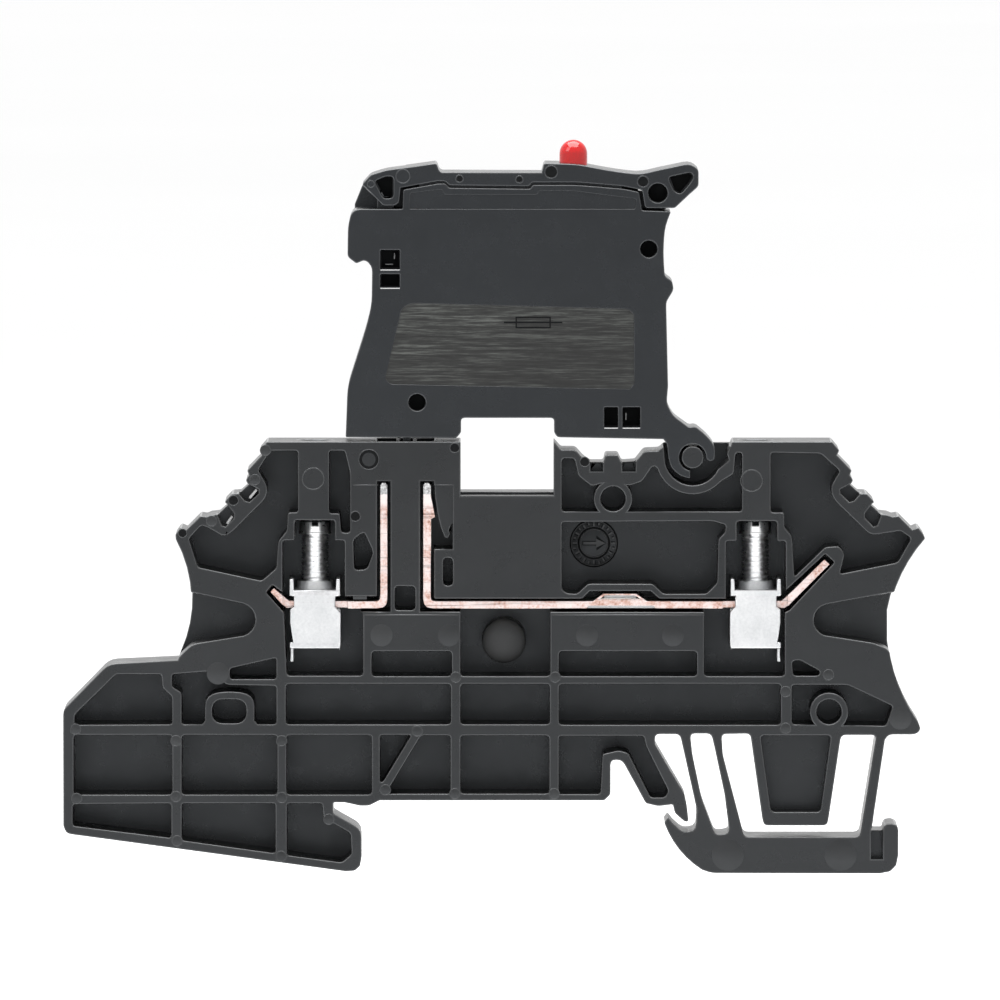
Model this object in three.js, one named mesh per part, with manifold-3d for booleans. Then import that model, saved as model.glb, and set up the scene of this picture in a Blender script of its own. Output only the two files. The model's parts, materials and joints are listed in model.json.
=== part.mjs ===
// Rail-mounted fuse terminal block with a swinging fuse lever, millimetres, +Z up.
// X runs across the rail, Y along it, and Z away from it. The ribbed side of the housing opens
// towards -Y. The origin lies on the flat underside, at mid-thickness, over the rail's centre line.
import * as THREE from 'three';
import { mergeVertices } from 'three/addons/utils/BufferGeometryUtils.js';
import Module from 'manifold-3d';

const wasm = await Module();
wasm.setup();

// ---------------------------------------------------------------- driving dimensions
const THICKNESS = 9.1;
const FRONT = -THICKNESS / 2;
const BACK = THICKNESS / 2;
const BACK_WALL = 1.0;
const FLOOR = BACK - BACK_WALL;
const CUT = 0.5;
const TOP_Z = 37.25;
const WINDOW_SILL = 31.62;

const PIVOT = { x: 19.65, z: 35.6 };
const PIVOT_BOSS_R = 1.15;
const BOWL_R = 2.9;
const HOOK_BORE_R = 1.4;

const SCREW_X = { left: -19.5, right: 26.2 };
const SCREW_Y = -0.5;
const THREAD_R = 1.42;
const HEAD_R = 1.7;
const HEAD_Z = [27.5, 29.0];
const SCREW_TIP_Z = 20.9;
const TAPPED_R = 1.6;

const BAR_T = 0.8;
const BAR_TOP = 20.7;
const BAR_Y = [-4.1, 3.3];
const BAR_NECK_Y = [-3.1, 2.1];
const YOKE_Y = [-4.2, 3.2];
const YOKE_WALL = 0.7;

const WIRE_Z = 18.5;
const TUNNEL_R = 1.6;

const LEVER_Y = [-4.4, 4.4];
const SHELL_WALL = 1.1;
const SHELL_SPLIT = LEVER_Y[0] + SHELL_WALL;
const SHELL_GAP = 0.05;
const HOOK_BACK_Y = 3.25;
const PLATEAU_Z = 61.35;

const LID_PIVOT = { x: -12.15, z: 62.95 };
const LID_PIN_R = 0.5;
const LID_BORE_R = 0.62;
const LUG_R = 0.9;
const LUG_HALF = 1.0;
const LID_HOOK_BACK_Y = 3.1;

const FUSE = { x: 2.0, z: 57.9, length: 20, capLength: 5.2, capR: 2.6, glassR: 2.4 };
const CLIP = { gap: 0.15, sheet: 0.35, width: 3.6, inset: 0.8 };
const STRIP_T = 0.4;
const STRIP_HALF = 1.6;

const LED = { x: 7.3, baseZ: 63.15, r: 1.45, topZ: 68.4, flangeR: 1.75, flangeT: 0.9 };
const BOARD = { x: [-6.5, 11.5], halfY: 2.7, z: [61.9, 62.7] };

const ROUND = 24;
const FINE_ROUND = 32;

// ---------------------------------------------------------------- solids from outlines
function toSolid(geometry) {
  const bare = geometry.clone();
  bare.deleteAttribute('normal');
  bare.deleteAttribute('uv');
  const merged = mergeVertices(bare, 1e-4);
  return new wasm.Manifold(new wasm.Mesh({
    numProp: 3,
    vertProperties: new Float32Array(merged.getAttribute('position').array),
    triVerts: new Uint32Array(merged.getIndex().array),
  }));
}

function toGeometry(solid) {
  const mesh = solid.getMesh();
  const geometry = new THREE.BufferGeometry();
  geometry.setAttribute('position', new THREE.BufferAttribute(mesh.vertProperties, 3));
  geometry.setIndex(new THREE.BufferAttribute(mesh.triVerts, 1));
  geometry.computeVertexNormals();
  return geometry;
}

// Points of a circular arc, angles in degrees, both ends included.
function arc(centre, r, from, to, steps) {
  return Array.from({ length: steps + 1 }, (_, i) => {
    const angle = THREE.MathUtils.degToRad(from + (to - from) * i / steps);
    return [centre.x + r * Math.cos(angle), centre.z + r * Math.sin(angle)];
  });
}

// Points of the circular arc from a to b that passes through middle, both ends included.
function arcThrough(a, middle, b, steps) {
  const d = 2 * (a[0] * (middle[1] - b[1]) + middle[0] * (b[1] - a[1]) + b[0] * (a[1] - middle[1]));
  const [aa, mm, bb] = [a, middle, b].map((p) => p[0] ** 2 + p[1] ** 2);
  const x = (aa * (middle[1] - b[1]) + mm * (b[1] - a[1]) + bb * (a[1] - middle[1])) / d;
  const z = (aa * (b[0] - middle[0]) + mm * (a[0] - b[0]) + bb * (middle[0] - a[0])) / d;
  const angle = (p) => THREE.MathUtils.radToDeg(Math.atan2(p[1] - z, p[0] - x));
  const wrap = (value) => ((value % 360) + 540) % 360 - 180;
  const sweep = wrap(angle(middle) - angle(a)) + wrap(angle(b) - angle(middle));
  return arc({ x, z }, Math.hypot(a[0] - x, a[1] - z), angle(a), angle(a) + sweep, steps);
}

// A closed outline from [x, z] or [x, z, cutback] points. A cutback rounds that corner.
function outline(points) {
  const shape = new THREE.Shape();
  const lead = (from, to, distance) => {
    const length = Math.hypot(to[0] - from[0], to[1] - from[1]);
    const t = Math.min(distance / length, 0.5);
    return [from[0] + (to[0] - from[0]) * t, from[1] + (to[1] - from[1]) * t];
  };
  points.forEach((point, i) => {
    const before = points[(i + points.length - 1) % points.length];
    const after = points[(i + 1) % points.length];
    const cutback = point[2] ?? 0;
    const start = cutback ? lead(point, before, cutback) : point;
    if (i === 0) shape.moveTo(start[0], start[1]);
    else shape.lineTo(start[0], start[1]);
    if (cutback) shape.quadraticCurveTo(point[0], point[1], ...lead(point, after, cutback));
  });
  shape.closePath();
  return shape;
}

function rounded(points, cutback) {
  return points.map(([x, z, own]) => [x, z, own ?? cutback]);
}

function rectangle(x0, x1, z0, z1, cutback = 0) {
  return rounded([[x0, z0], [x1, z0], [x1, z1], [x0, z1]], cutback);
}

// An outline in X and Z, extruded along Y.
function slab(points, y0, y1, segments = 3) {
  const options = { depth: y1 - y0, bevelEnabled: false, curveSegments: segments };
  const geometry = new THREE.ExtrudeGeometry(outline(points), options);
  geometry.rotateX(Math.PI / 2);
  geometry.translate(0, y1, 0);
  return toSolid(geometry);
}

function block(x0, x1, y0, y1, z0, z1) {
  const geometry = new THREE.BoxGeometry(x1 - x0, y1 - y0, z1 - z0);
  geometry.translate((x0 + x1) / 2, (y0 + y1) / 2, (z0 + z1) / 2);
  return toSolid(geometry);
}

function rodY(centre, r, y0, y1, sides = ROUND) {
  const geometry = new THREE.CylinderGeometry(r, r, y1 - y0, sides);
  geometry.translate(centre.x, (y0 + y1) / 2, 0);
  geometry.translate(0, 0, centre.z);
  return toSolid(geometry);
}

function rodX(x0, x1, y, z, r0, r1 = r0, sides = ROUND) {
  const geometry = new THREE.CylinderGeometry(r1, r0, x1 - x0, sides);
  geometry.rotateZ(-Math.PI / 2);
  geometry.translate((x0 + x1) / 2, y, z);
  return toSolid(geometry);
}

function rodZ(x, y, r0, r1, z0, z1, sides = ROUND) {
  const geometry = new THREE.CylinderGeometry(r1, r0, z1 - z0, sides);
  geometry.rotateX(Math.PI / 2);
  geometry.translate(x, y, (z0 + z1) / 2);
  return toSolid(geometry);
}

function join(solids) {
  return solids.reduce((sum, solid) => sum.add(solid));
}

function cut(solid, tools) {
  return tools.reduce((rest, tool) => rest.subtract(tool), solid);
}

// ---------------------------------------------------------------- materials
function finish(color, roughness, metalness) {
  return new THREE.MeshStandardMaterial({ color, roughness, metalness });
}

const polyamide = finish(0x37383b, 0.55, 0);
const leverPlastic = finish(0x3a3c40, 0.5, 0);
const zincSteel = finish(0xd5d8da, 0.28, 1);
const tinnedCopper = finish(0xd9bcb0, 0.3, 1);
const springBronze = finish(0xc9a06a, 0.35, 1);
const nickelCap = finish(0xc9c6bd, 0.25, 1);
const fuseWire = finish(0xb9b9b9, 0.4, 1);
const clearGlass = new THREE.MeshStandardMaterial({
  color: 0xe8f0ee, roughness: 0.05, transparent: true, opacity: 0.35,
});
const redLens = finish(0xe0202a, 0.2, 0);
const boardGreen = finish(0x2f5a3c, 0.6, 0);
const chipBlack = finish(0x1c1c1e, 0.4, 0);
const darkSteel = finish(0x55585c, 0.4, 1);

function piece(name, solid, material) {
  const mesh = new THREE.Mesh(toGeometry(solid), material);
  mesh.name = name;
  return mesh;
}

// ---------------------------------------------------------------- housing
// The stepped flanks carry snap-in markers. Steps run outwards and down from each top corner.
const FLANK_X = { left: -24.45, right: 34.07 };
const FLANK_STEPS = [
  [0, 0], [0.78, -0.92], [0.52, -1.43], [2.06, -3.0], [1.85, -3.5], [2.2, -4.0], [1.9, -4.6],
  [2.75, -5.35], [3.6, -5.4], [4.38, -6.2], [4.1, -6.75], [4.95, -7.5], [5.8, -7.6], [6.3, -7.8],
  [6.9, -7.7], [8.35, -9.15], [8.95, -8.9], [9.5, -9.65],
];
const MARKER_SLOTS = [
  [[3.1, -5.2], [2.1, -4.3], [0.86, -4.96], [0.88, -5.4], [1.8, -6.3], [2.3, -6.15]],
  [[5.2, -7.3], [4.2, -6.4], [3.44, -7.43], [3.44, -7.95], [4.3, -8.85], [4.72, -8.7]],
];
const MARKER_SLOT_DEPTH = 3.4;

function flank(side, steps) {
  const sign = side === 'left' ? -1 : 1;
  return steps.map(([out, down]) => [FLANK_X[side] + sign * out, TOP_Z + down]);
}

function housingOutline() {
  return [
    [-45.6, 9.4, 0.5], [-40.9, 14.2, 0.8], [-33.7, 14.55],
    ...arcThrough([-33.5, 15.1], [-32.3, 20.7], [-33.9, 27.1], 8),
    ...flank('left', FLANK_STEPS).reverse(),
    [-4.4, TOP_Z], [-4.4, WINDOW_SILL], [5.25, WINDOW_SILL], [5.25, TOP_Z],
    [6.0, 36.4, 0.2], [7.5, 36.4, 0.3], [8.3, 35.5, 0.2], [9.0, 35.0, 0.2], [10.4, 35.0, 0.2],
    [10.6, 35.85, 0.2], [11.9, 35.85, 0.2], [12.3, 35.0, 0.2], [13.7, 35.1, 0.2], [14.6, 36.25, 0.3],
    [16.2, 36.3, 0.3], [16.7, 36.8], [23.6, 36.8], [23.75, TOP_Z],
    ...flank('right', FLANK_STEPS),
    ...arcThrough([43.75, 27.2], [41.25, 23.4], [39.95, 19.4], 6),
    ...arcThrough([39.95, 16.2], [40.85, 12.4], [43.0, 8.2], 6),
    [43.35, 7.4, 0.4], [42.85, 6.85, 0.5], [40.0, 6.85, 0.5], [39.6, 6.3],
    ...springFootOutline(),
    [18.8, 0.6, 0.3], [19.1, -0.8, 0.3], [19.24, -2.2, 0.2], [18.85, -2.2, 0.2], [17.8, -1.3, 0.3],
    [17.6, -0.4, 0.2], [16.1, -0.6, 0.3], [14.8, -0.3, 0.2], [12.35, 4.2, 0.5], [11.15, 4.2, 0.5],
    [11.15, 0.6, 0.3], [10.5, 0],
    [-12.8, 0], [-13.9, -0.55, 0.3], [-14.8, -0.55], [-16.4, -0.2], [-17.6, -0.2, 0.2],
    [-17.6, -1.35, 0.2], [-14.7, -3.0, 0.8], [-14.62, -7.6, 1.7], [-45.3, -3.45, 0.5], [-45.6, -2.6],
  ];
}

// The sprung foot snaps under the rail's second edge: two legs, a toe and a release hook.
function springFootOutline() {
  return [
    [38.2, -3.25], [39.4, -3.25, 0.2], [39.55, -2.4, 0.6], [41.0, -2.4, 0.7], [41.0, -7.6, 1.9],
    [21.6, -7.55, 0.5], ...arcThrough([20.6, -7.2], [18.15, -4.95], [16.7, -2.3], 6),
    [17.1, -1.75, 0.2], [17.7, -2.5, 0.3], [18.6, -3.25, 0.4], [20.0, -3.2, 0.8], [20.1, -1.0],
    [18.35, 6.9, 0.5], [15.75, 6.9, 0.5], [15.75, 5.8],
  ];
}

function footWindows() {
  const legWindow = [
    [19.4, 6.95], [21.6, 6.95], [22.0, 5.2], [23.0, 0.5], [23.5, -3.4], [22.0, -3.6], [20.6, 0.1],
    [19.65, 4.6],
  ];
  const sideWindow = [
    [22.65, 6.9], [25.65, 6.95], [27.0, -2.6], [33.65, -2.6], [35.05, 6.8], [38.7, 6.8],
    [37.0, -3.8], [25.0, -3.8], [22.8, 4.6],
  ];
  return [rounded(legWindow, 0.5), rounded(sideWindow, 0.5)];
}

// Blind pockets between the ribs, open to the front and closed by the back wall.
function ribPockets() {
  const corner = 0.4;
  const grid = [
    [-22.5, -5.4, 7.9, 12.1], [-4.4, 4.85, 7.9, 12.1], [5.8, 28.8, 7.85, 12.1],
    [-44.5, -34.3, 0.6, 6.8], [-33.3, -23.4, 0.6, 6.8], [-22.45, -13.6, 0.6, 6.8],
    [-4.4, 4.8, 0.7, 6.75], [5.8, 20.1, 12.9, 15.5], [-13.6, -5.3, 12.9, 15.5],
    [-4.4, 4.9, 12.9, 19.8],
  ].map(([x0, x1, z0, z1]) => rectangle(x0, x1, z0, z1, corner));
  const shaped = [
    [[-44.4, 7.85], [-34.3, 7.9], [-34.3, 10.8], [-35.3, 11.7], [-35.4, 13.1], [-40.1, 13.1], [-44.4, 8.9]],
    [[-33.3, 7.9], [-33.3, 11.2], [-34.3, 11.8], [-34.3, 13.1], [-30.6, 13.4], [-28.6, 12.0],
      [-23.5, 11.9], [-23.5, 7.9]],
    [[-28.3, 12.6], [-28.3, 13.7], [-23.5, 14.8], [-23.5, 12.6]],
    [[29.95, 12.0], [35.7, 12.0], [40.4, 9.8], [39.7, 7.75], [29.95, 7.9]],
    [[-12.75, 1.9], [-12.75, 6.8], [-9.5, 6.8], [-12.45, 1.9]],
    [[-8.5, 6.75], [-5.45, 6.75], [-5.45, 0.7], [-12.15, 0.7]],
    [[5.8, 6.7], [14.6, 6.7], [14.8, 5.7], [17.15, 1.0], [16.8, 0.3], [15.3, 0.3], [13.0, 4.9],
      [12.0, 5.2], [10.3, 4.8], [10.1, 0.65], [5.8, 0.65]],
    [[-44.6, -0.4], [-34.4, -0.3], [-34.4, -3.9], [-44.6, -2.65]],
    [[-33.3, -0.3], [-23.6, -0.3], [-23.6, -5.5], [-33.3, -4.15]],
    [[-22.4, -0.3], [-18.75, -0.3], [-18.6, -1.8], [-15.8, -3.4], [-15.7, -5.6], [-16.7, -6.45],
      [-22.4, -5.7]],
    [[6.1, 28.9], [21.7, 29.0], [23.1, 28.6], [23.0, 27.8], [22.3, 27.1], [22.2, 22.6], [21.1, 21.45],
      [16.6, 21.45], [15.5, 22.5], [8.8, 22.5], [7.7, 21.45], [6.6, 21.5], [6.1, 21.9]],
    [[6.1, 35.5], [7.4, 35.5], [7.8, 33.7], [9.2, 32.6], [10.2, 32.9], [13.2, 32.7], [14.4, 33.1],
      [15.5, 34.7], ...arc(PIVOT, BOWL_R + 0.95, 195, 320, 9), [23.9, 33.9], [24.1, 36.1],
      [24.75, 36.1], [24.75, 30.0], [6.1, 30.0]],
    [[-18.0, 36.3], [-16.4, 36.3], [-15.85, 34.0], [-15.85, 27.8], [-16.75, 27.8], [-16.9, 29.8],
      [-18.0, 29.8]],
    [[29.95, 14.45], [30.7, 14.6], [32.9, 13.4], [32.7, 12.95], [30.1, 12.95]],
    [[27.75, 36.1], [32.9, 36.0], [34.9, 34.2], [33.9, 32.5, 0.6], [34.2, 31.3, 0.7],
      [38.1, 27.5, 0.7], [41.2, 28.0], [42.3, 27.2], [40.9, 24.7], [34.9, 23.5], [35.4, 25.6], [34.8, 26.4],
      [33.4, 26.3], [30.2, 23.2], [29.95, 27.4], [29.15, 28.4], [29.15, 29.9], [27.75, 29.9]],
    [[-21.25, 36.3], [-24.1, 36.3], [-25.35, 34.3], [-24.35, 32.5, 0.6], [-24.55, 31.4, 0.6],
      [-28.2, 27.75, 0.6], [-28.95, 27.4, 0.4], [-30.7, 28.4], [-31.25, 28.55, 0.2], [-32.55, 27.2],
      [-31.6, 24.2], [-25.0, 22.8], [-23.5, 24.1], [-23.3, 26.9], [-22.4, 28.0], [-22.3, 29.9],
      [-21.25, 29.9]],
  ].map((points) => rounded(points, 0.3));
  return [...grid, ...shaped];
}

const FOOT_TONGUE = [[26.7, 6.75, 0.4], [34.0, 6.75, 0.4], [32.9, -1.2, 0.4], [27.8, -1.2, 0.4]];
const FOOT_TONGUE_DEPTH = 4.5;
const FOOT_SLOT = rectangle(38.15, 39.4, -6.1, -2.9);
const FOOT_SLOT_DEPTH = 2.5;

// The grooves of the tag comb are cut deeper at the front.
const COMB_NOTCHES = [[9.05, 10.35, 34.15, 36.0], [12.35, 13.75, 34.15, 36.0]];
const COMB_NOTCH_DEPTH = 2.5;

// Tapered wire entries end in a round tunnel that leads into the clamp.
function wireEntries() {
  const left = [
    [-35, 22.2], ...arcThrough([-27.0, 20.45], [-25.65, 18.75], [-26.9, 17.1], 8),
    [-32.2, 16.25, 0.6], [-33.1, 15.4], [-33.7, 14.75], [-35, 14.75],
  ];
  const right = [
    [42.5, 22.0], ...arcThrough([33.5, 20.35], [32.2, 18.75], [33.3, 17.15], 8),
    [38.5, 16.35, 0.6], [39.7, 15.8], [40.6, 14.9], [42.5, 14.9],
  ];
  const entryDepth = 2.6;
  return [
    slab(left, FRONT - CUT, entryDepth),
    slab(right, FRONT - CUT, entryDepth),
    rodX(-26.0, -22, SCREW_Y, WIRE_Z, TUNNEL_R),
    rodX(28.9, 32.6, SCREW_Y, WIRE_Z, TUNNEL_R),
  ];
}

// Each clamp hangs in a stepped bay under its screwdriver shaft.
function clampBays() {
  const left = [
    [-21.6, 29.1, 0.3], [-17.4, 29.1, 0.3], [-17.4, 27.0], [-16.4, 27.0, 0.3], [-16.4, 21.2],
    [-15.9, 21.2], [-15.9, 19.6], [-14.5, 19.6, 0.3], [-14.5, 12.95, 0.4], [-22.4, 12.95, 0.4],
    [-22.7, 19.5], [-24.55, 21.6, 0.2], [-23.9, 22.4, 0.2], [-22.85, 21.6], [-22.85, 27.0, 0.3],
    [-21.6, 27.0],
  ];
  const right = [
    [24.2, 29.0, 0.3], [28.4, 29.0, 0.3], [28.4, 26.95], [29.3, 26.95, 0.3], [29.3, 21.8],
    [33.4, 25.6, 0.2], [34.35, 24.7, 0.2], [29.7, 19.75], [29.2, 19.5], [29.2, 12.9, 0.4],
    [20.85, 12.9, 0.4], [20.85, 19.6], [20.85, 20.95], [23.1, 20.95], [23.1, 26.95, 0.3],
    [24.2, 26.95],
  ];
  return [left, right];
}

// Channels for the two bent busbars, and the slots beside their upright blades.
function busbarChannels() {
  return [
    [[-16.2, 19.6], [-16.2, 21.2], [-13.05, 21.2], [-13.05, 33.15], [-11.65, 33.15], [-11.65, 19.6]],
    [[-8.6, 19.6], [-8.6, 33.15], [-7.15, 33.15], [-7.15, 20.95], [8.2, 20.95], [9.0, 21.75],
      [15.3, 21.75], [16.2, 20.95], [23.3, 20.95], [23.3, 19.55]],
    rounded([[-15.5, 27.1], [-14.4, 27.9], [-13.45, 25.8], [-14.1, 24.0], [-15.4, 23.9]], 0.4),
    rectangle(-11.2, -9.1, 19.75, 22.25, 0.4),
    rectangle(-7.2, -5.2, 26.1, 32.7),
    rectangle(-6.2, -5.2, 22.3, 25.2, 0.45),
  ];
}

function makeHousing() {
  const body = slab(housingOutline(), FRONT, BACK);
  const through = footWindows().map((points) => slab(points, FRONT - CUT, BACK + CUT));
  const pockets = [...ribPockets(), ...clampBays(), ...busbarChannels()]
    .map((points) => slab(points, FRONT - CUT, FLOOR));
  const markers = ['left', 'right'].flatMap((side) => MARKER_SLOTS
    .map((steps) => slab(flank(side, steps), FRONT - CUT, FRONT + MARKER_SLOT_DEPTH)));
  const bowl = [
    [16.55, TOP_Z + CUT], ...arc(PIVOT, BOWL_R, 180, 335, 14), [23.4, 35.3], [23.2, 36.0],
    [23.45, 36.7], [23.85, TOP_Z + CUT],
  ];
  const tongueWell = block(-13.05, -7.15, FRONT + 1.15, FLOOR, 27.0, TOP_Z + CUT);
  const shafts = Object.values(SCREW_X).flatMap((x) => [
    rodZ(x, SCREW_Y, 1.15, 1.15, 28.5, TOP_Z + CUT),
    rodZ(x, SCREW_Y, 1.15, 1.8, 36.3, TOP_Z + 0.01),
  ]);
  const datum = { x: 0.1, z: 16.4 };
  const shell = cut(body, [
    ...through, ...pockets, ...markers, ...wireEntries(), ...shafts, tongueWell,
    slab(bowl, FRONT - CUT, FLOOR),
    slab(FOOT_TONGUE, FRONT - CUT, FRONT + FOOT_TONGUE_DEPTH),
    slab(FOOT_SLOT, FRONT - CUT, FRONT + FOOT_SLOT_DEPTH),
    ...COMB_NOTCHES.map((sides) => slab(rectangle(...sides), FRONT - CUT, FRONT + COMB_NOTCH_DEPTH)),
  ]);
  const rings = [{ x: 11.4, z: 31.3 }, { x: 33.8, z: 9.2 }];
  const [ringR, holeR] = [2.0, 1.3];
  const slotEye = [
    [-31.3, 7.7], [-30.9, 8.3], [-30.9, 11.3, 2.3], [-25.75, 11.3, 2.3], [-25.75, 8.3], [-25.3, 7.7],
  ];
  const slotHole = rectangle(-30.15, -26.6, 8.0, 10.5, 1.2);
  const boss = rodY(PIVOT, PIVOT_BOSS_R, FRONT + 0.15, BACK);
  const datumPad = rodY(datum, 2.3, FRONT + 5.0, BACK, FINE_ROUND);
  const tongue = [
    [-5.0, 32.9], [-5.0, 28.75], [-5.45, 28.4], [-5.6, 28.05], [-5.42, 27.7], [-5.7, 27.2],
    [-6.05, 27.3], [-6.45, 28.3], [-6.8, 29.8], [-7.05, 31.5], [-7.1, 32.9],
  ];
  const sillLip = block(-4.5, 5.35, FRONT + 3.5, BACK, WINDOW_SILL - 0.2, WINDOW_SILL + 0.25);
  const fillings = [
    ...rings.map((centre) => rodY(centre, ringR, FRONT, BACK)),
    slab(slotEye, FRONT, BACK, 5),
    slab(tongue, FRONT + 0.3, BACK),
    sillLip,
    boss,
    datumPad,
  ];
  return cut(join([shell, ...fillings]), [
    ...rings.map((centre) => rodY(centre, holeR, FRONT - CUT, FLOOR)),
    slab(slotHole, FRONT - CUT, FLOOR, 5),
  ]);
}

// ---------------------------------------------------------------- busbars
// The right bar is pressed up into a low bridge with an eye under its crown.
const TAB_TOP = 21.5;
const TAB_LIFT = 0.3;

function makeLeftBusbar() {
  const bottom = BAR_TOP - BAR_T;
  const bar = slab([
    [-24.15, 21.65], [-23.75, 22.1], [-22.2, BAR_TOP], [-12.75, BAR_TOP, 0.4], [-12.75, 32.7],
    [-12.55, 33.0], [-12.15, 33.0], [-11.95, 32.7], [-11.95, bottom, 1.0], [-22.5, bottom],
  ], ...BAR_Y);
  return cut(bar, barNeck(-22.8, -16.1));
}

function makeRightBusbar() {
  const bottom = BAR_TOP - BAR_T;
  const bar = slab([
    [-8.3, bottom, 1.0], [-8.3, 32.7], [-8.1, 33.0], [-7.7, 33.0], [-7.45, 32.7],
    [-7.45, 31.6], [-7.0, 29.4], [-7.45, 29.2], [-7.45, BAR_TOP, 0.4],
    [9.35, BAR_TOP], [10.4, TAB_TOP], [13.8, TAB_TOP], [14.9, BAR_TOP], [28.9, BAR_TOP],
    [33.3, 25.05], [33.9, 24.5], [29.3, bottom], [15.8, bottom], [15.6, bottom + TAB_LIFT],
    [8.9, bottom + TAB_LIFT], [8.7, bottom],
  ], ...BAR_Y);
  const tabEye = slab([
    [10.1, BAR_TOP + 0.25], [14.2, BAR_TOP + 0.25], [13.6, TAB_TOP - 0.23], [10.6, TAB_TOP - 0.23],
  ], BAR_Y[0] - CUT, BAR_Y[1] + CUT);
  return cut(bar, [tabEye, ...barNeck(22.8, 29.5)]);
}

// The bar is narrower where it runs through the closed frame of a clamp yoke.
function barNeck(x0, x1) {
  return [
    block(x0, x1, BAR_Y[0] - CUT, BAR_NECK_Y[0], 19, 22.5),
    block(x0, x1, BAR_NECK_Y[1], BAR_Y[1] + CUT, 19, 22.5),
  ];
}

// ---------------------------------------------------------------- clamps
// A folded steel frame with a tapped collar. Turning the screw draws it up against the bar.
function makeYoke(side) {
  const sign = side === 'left' ? 1 : -1;
  const face = [
    [-2.15, 21.8], [2.1, 21.8], [2.1, 20.1], [2.7, 19.5], [2.7, 16.2], [2.6, 15.75], [-2.1, 15.75],
    [-2.6, 18.4], [-2.6, 19.8], [-2.15, 20.1],
  ].map(([x, z]) => [sign * x, z]);
  const between = (a, b) => [Math.min(sign * a, sign * b), Math.max(sign * a, sign * b)];
  const frame = join([
    slab(face, YOKE_Y[0], YOKE_Y[0] + YOKE_WALL),
    slab(face, YOKE_Y[1] - YOKE_WALL, YOKE_Y[1]),
    block(-2.65, 2.65, ...YOKE_Y, 21.2, 21.8),
    block(...between(-2.65, -2.2), ...YOKE_Y, 21.3, 23.0),
    block(...between(2.2, 2.65), ...YOKE_Y, 21.3, 23.0),
    block(...between(-2.65, 2.6), ...YOKE_Y, 15.75, 16.4),
    block(...between(-2.65, -2.2), YOKE_Y[0] + YOKE_WALL, YOKE_Y[1] - YOKE_WALL, 14.3, 16.0),
    rodZ(0, SCREW_Y, 2.0, 1.85, 21.5, 22.7),
  ]);
  return cut(frame, [rodZ(0, SCREW_Y, TAPPED_R, TAPPED_R, 21, 23.5)]);
}

function makeScrew() {
  const slotHalf = 0.38;
  const slotDepth = 0.7;
  const shank = rodZ(0, 0, THREAD_R, THREAD_R, SCREW_TIP_Z + 0.4, HEAD_Z[0] + 0.2);
  const tip = rodZ(0, 0, THREAD_R - 0.4, THREAD_R, SCREW_TIP_Z, SCREW_TIP_Z + 0.4);
  const head = rodZ(0, 0, HEAD_R, HEAD_R, HEAD_Z[0], HEAD_Z[1] - 0.2);
  const crown = rodZ(0, 0, HEAD_R, HEAD_R - 0.2, HEAD_Z[1] - 0.2, HEAD_Z[1]);
  const slot = block(-slotHalf, slotHalf, -2, 2, HEAD_Z[1] - slotDepth, HEAD_Z[1] + CUT);
  return cut(join([shank, tip, head, crown]), [slot]);
}

// ---------------------------------------------------------------- lever
function leverLeftSide() {
  return [
    [-16.3, 37.7], [-16.1, 43.0, 1.0], [-14.1, 49.3, 1.5], [-13.6, 51.5, 1.0], [-13.55, 55.4, 0.6],
    [-14.3, 56.1, 0.4], [-15.2, 55.7, 0.2], [-16.1, 56.4, 0.3], [-16.05, 59.7, 0.8],
    [-15.6, PLATEAU_Z, 0.8],
  ];
}

function leverRightSide() {
  return [
    [17.4, 61.1, 0.2], [16.75, 59.4, 1.0], [16.6, 56.8, 1.0], [16.75, 54.4, 0.3], [17.5, 53.9, 0.3],
    [17.7, 53.0, 0.4], [16.9, 51.7, 0.4], [17.1, 43.0],
  ];
}

function leverUnderside() {
  return [
    [5.6, 37.7, 0.3], [5.3, 38.2], [5.3, 39.7, 0.4], [-4.35, 39.7, 0.4], [-4.35, 38.2],
    [-4.8, 37.6, 0.3],
  ];
}

// The C-shaped hook drops over the housing's pivot boss and is open to the lower right.
function hookOutline() {
  return [
    [16.95, 41.2, 0.5], [17.6, 39.95, 0.5], [19.3, 38.7, 0.3], [19.9, 38.85, 0.3], [20.9, 38.05, 0.5],
    [21.75, 37.1, 0.5], [22.0, 36.3], [21.9, 35.3, 0.2], [21.4, 35.2],
    ...arc(PIVOT, HOOK_BORE_R, -5, 260, 16),
    [19.4, 33.4], [18.4, 33.65, 0.4], [17.4, 34.5, 0.5], [17.05, 35.8, 0.5], [17.0, 37.0, 0.3],
    [16.6, 37.5],
  ];
}

function frontTopEdge() {
  return [
    [-10.4, PLATEAU_Z, 0.2], [-10.35, 63.35, 0.2], [-6.7, 64.0, 0.2], [-5.95, 64.0, 0.2],
    [-5.6, 63.55, 0.2], [2.8, 63.45, 0.2], [3.1, 63.85, 0.2], [7.7, 63.85, 0.8], [12.5, 63.45, 0.5],
    [14.1, 63.1, 0.2], [14.4, 61.2, 0.2],
  ];
}

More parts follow.
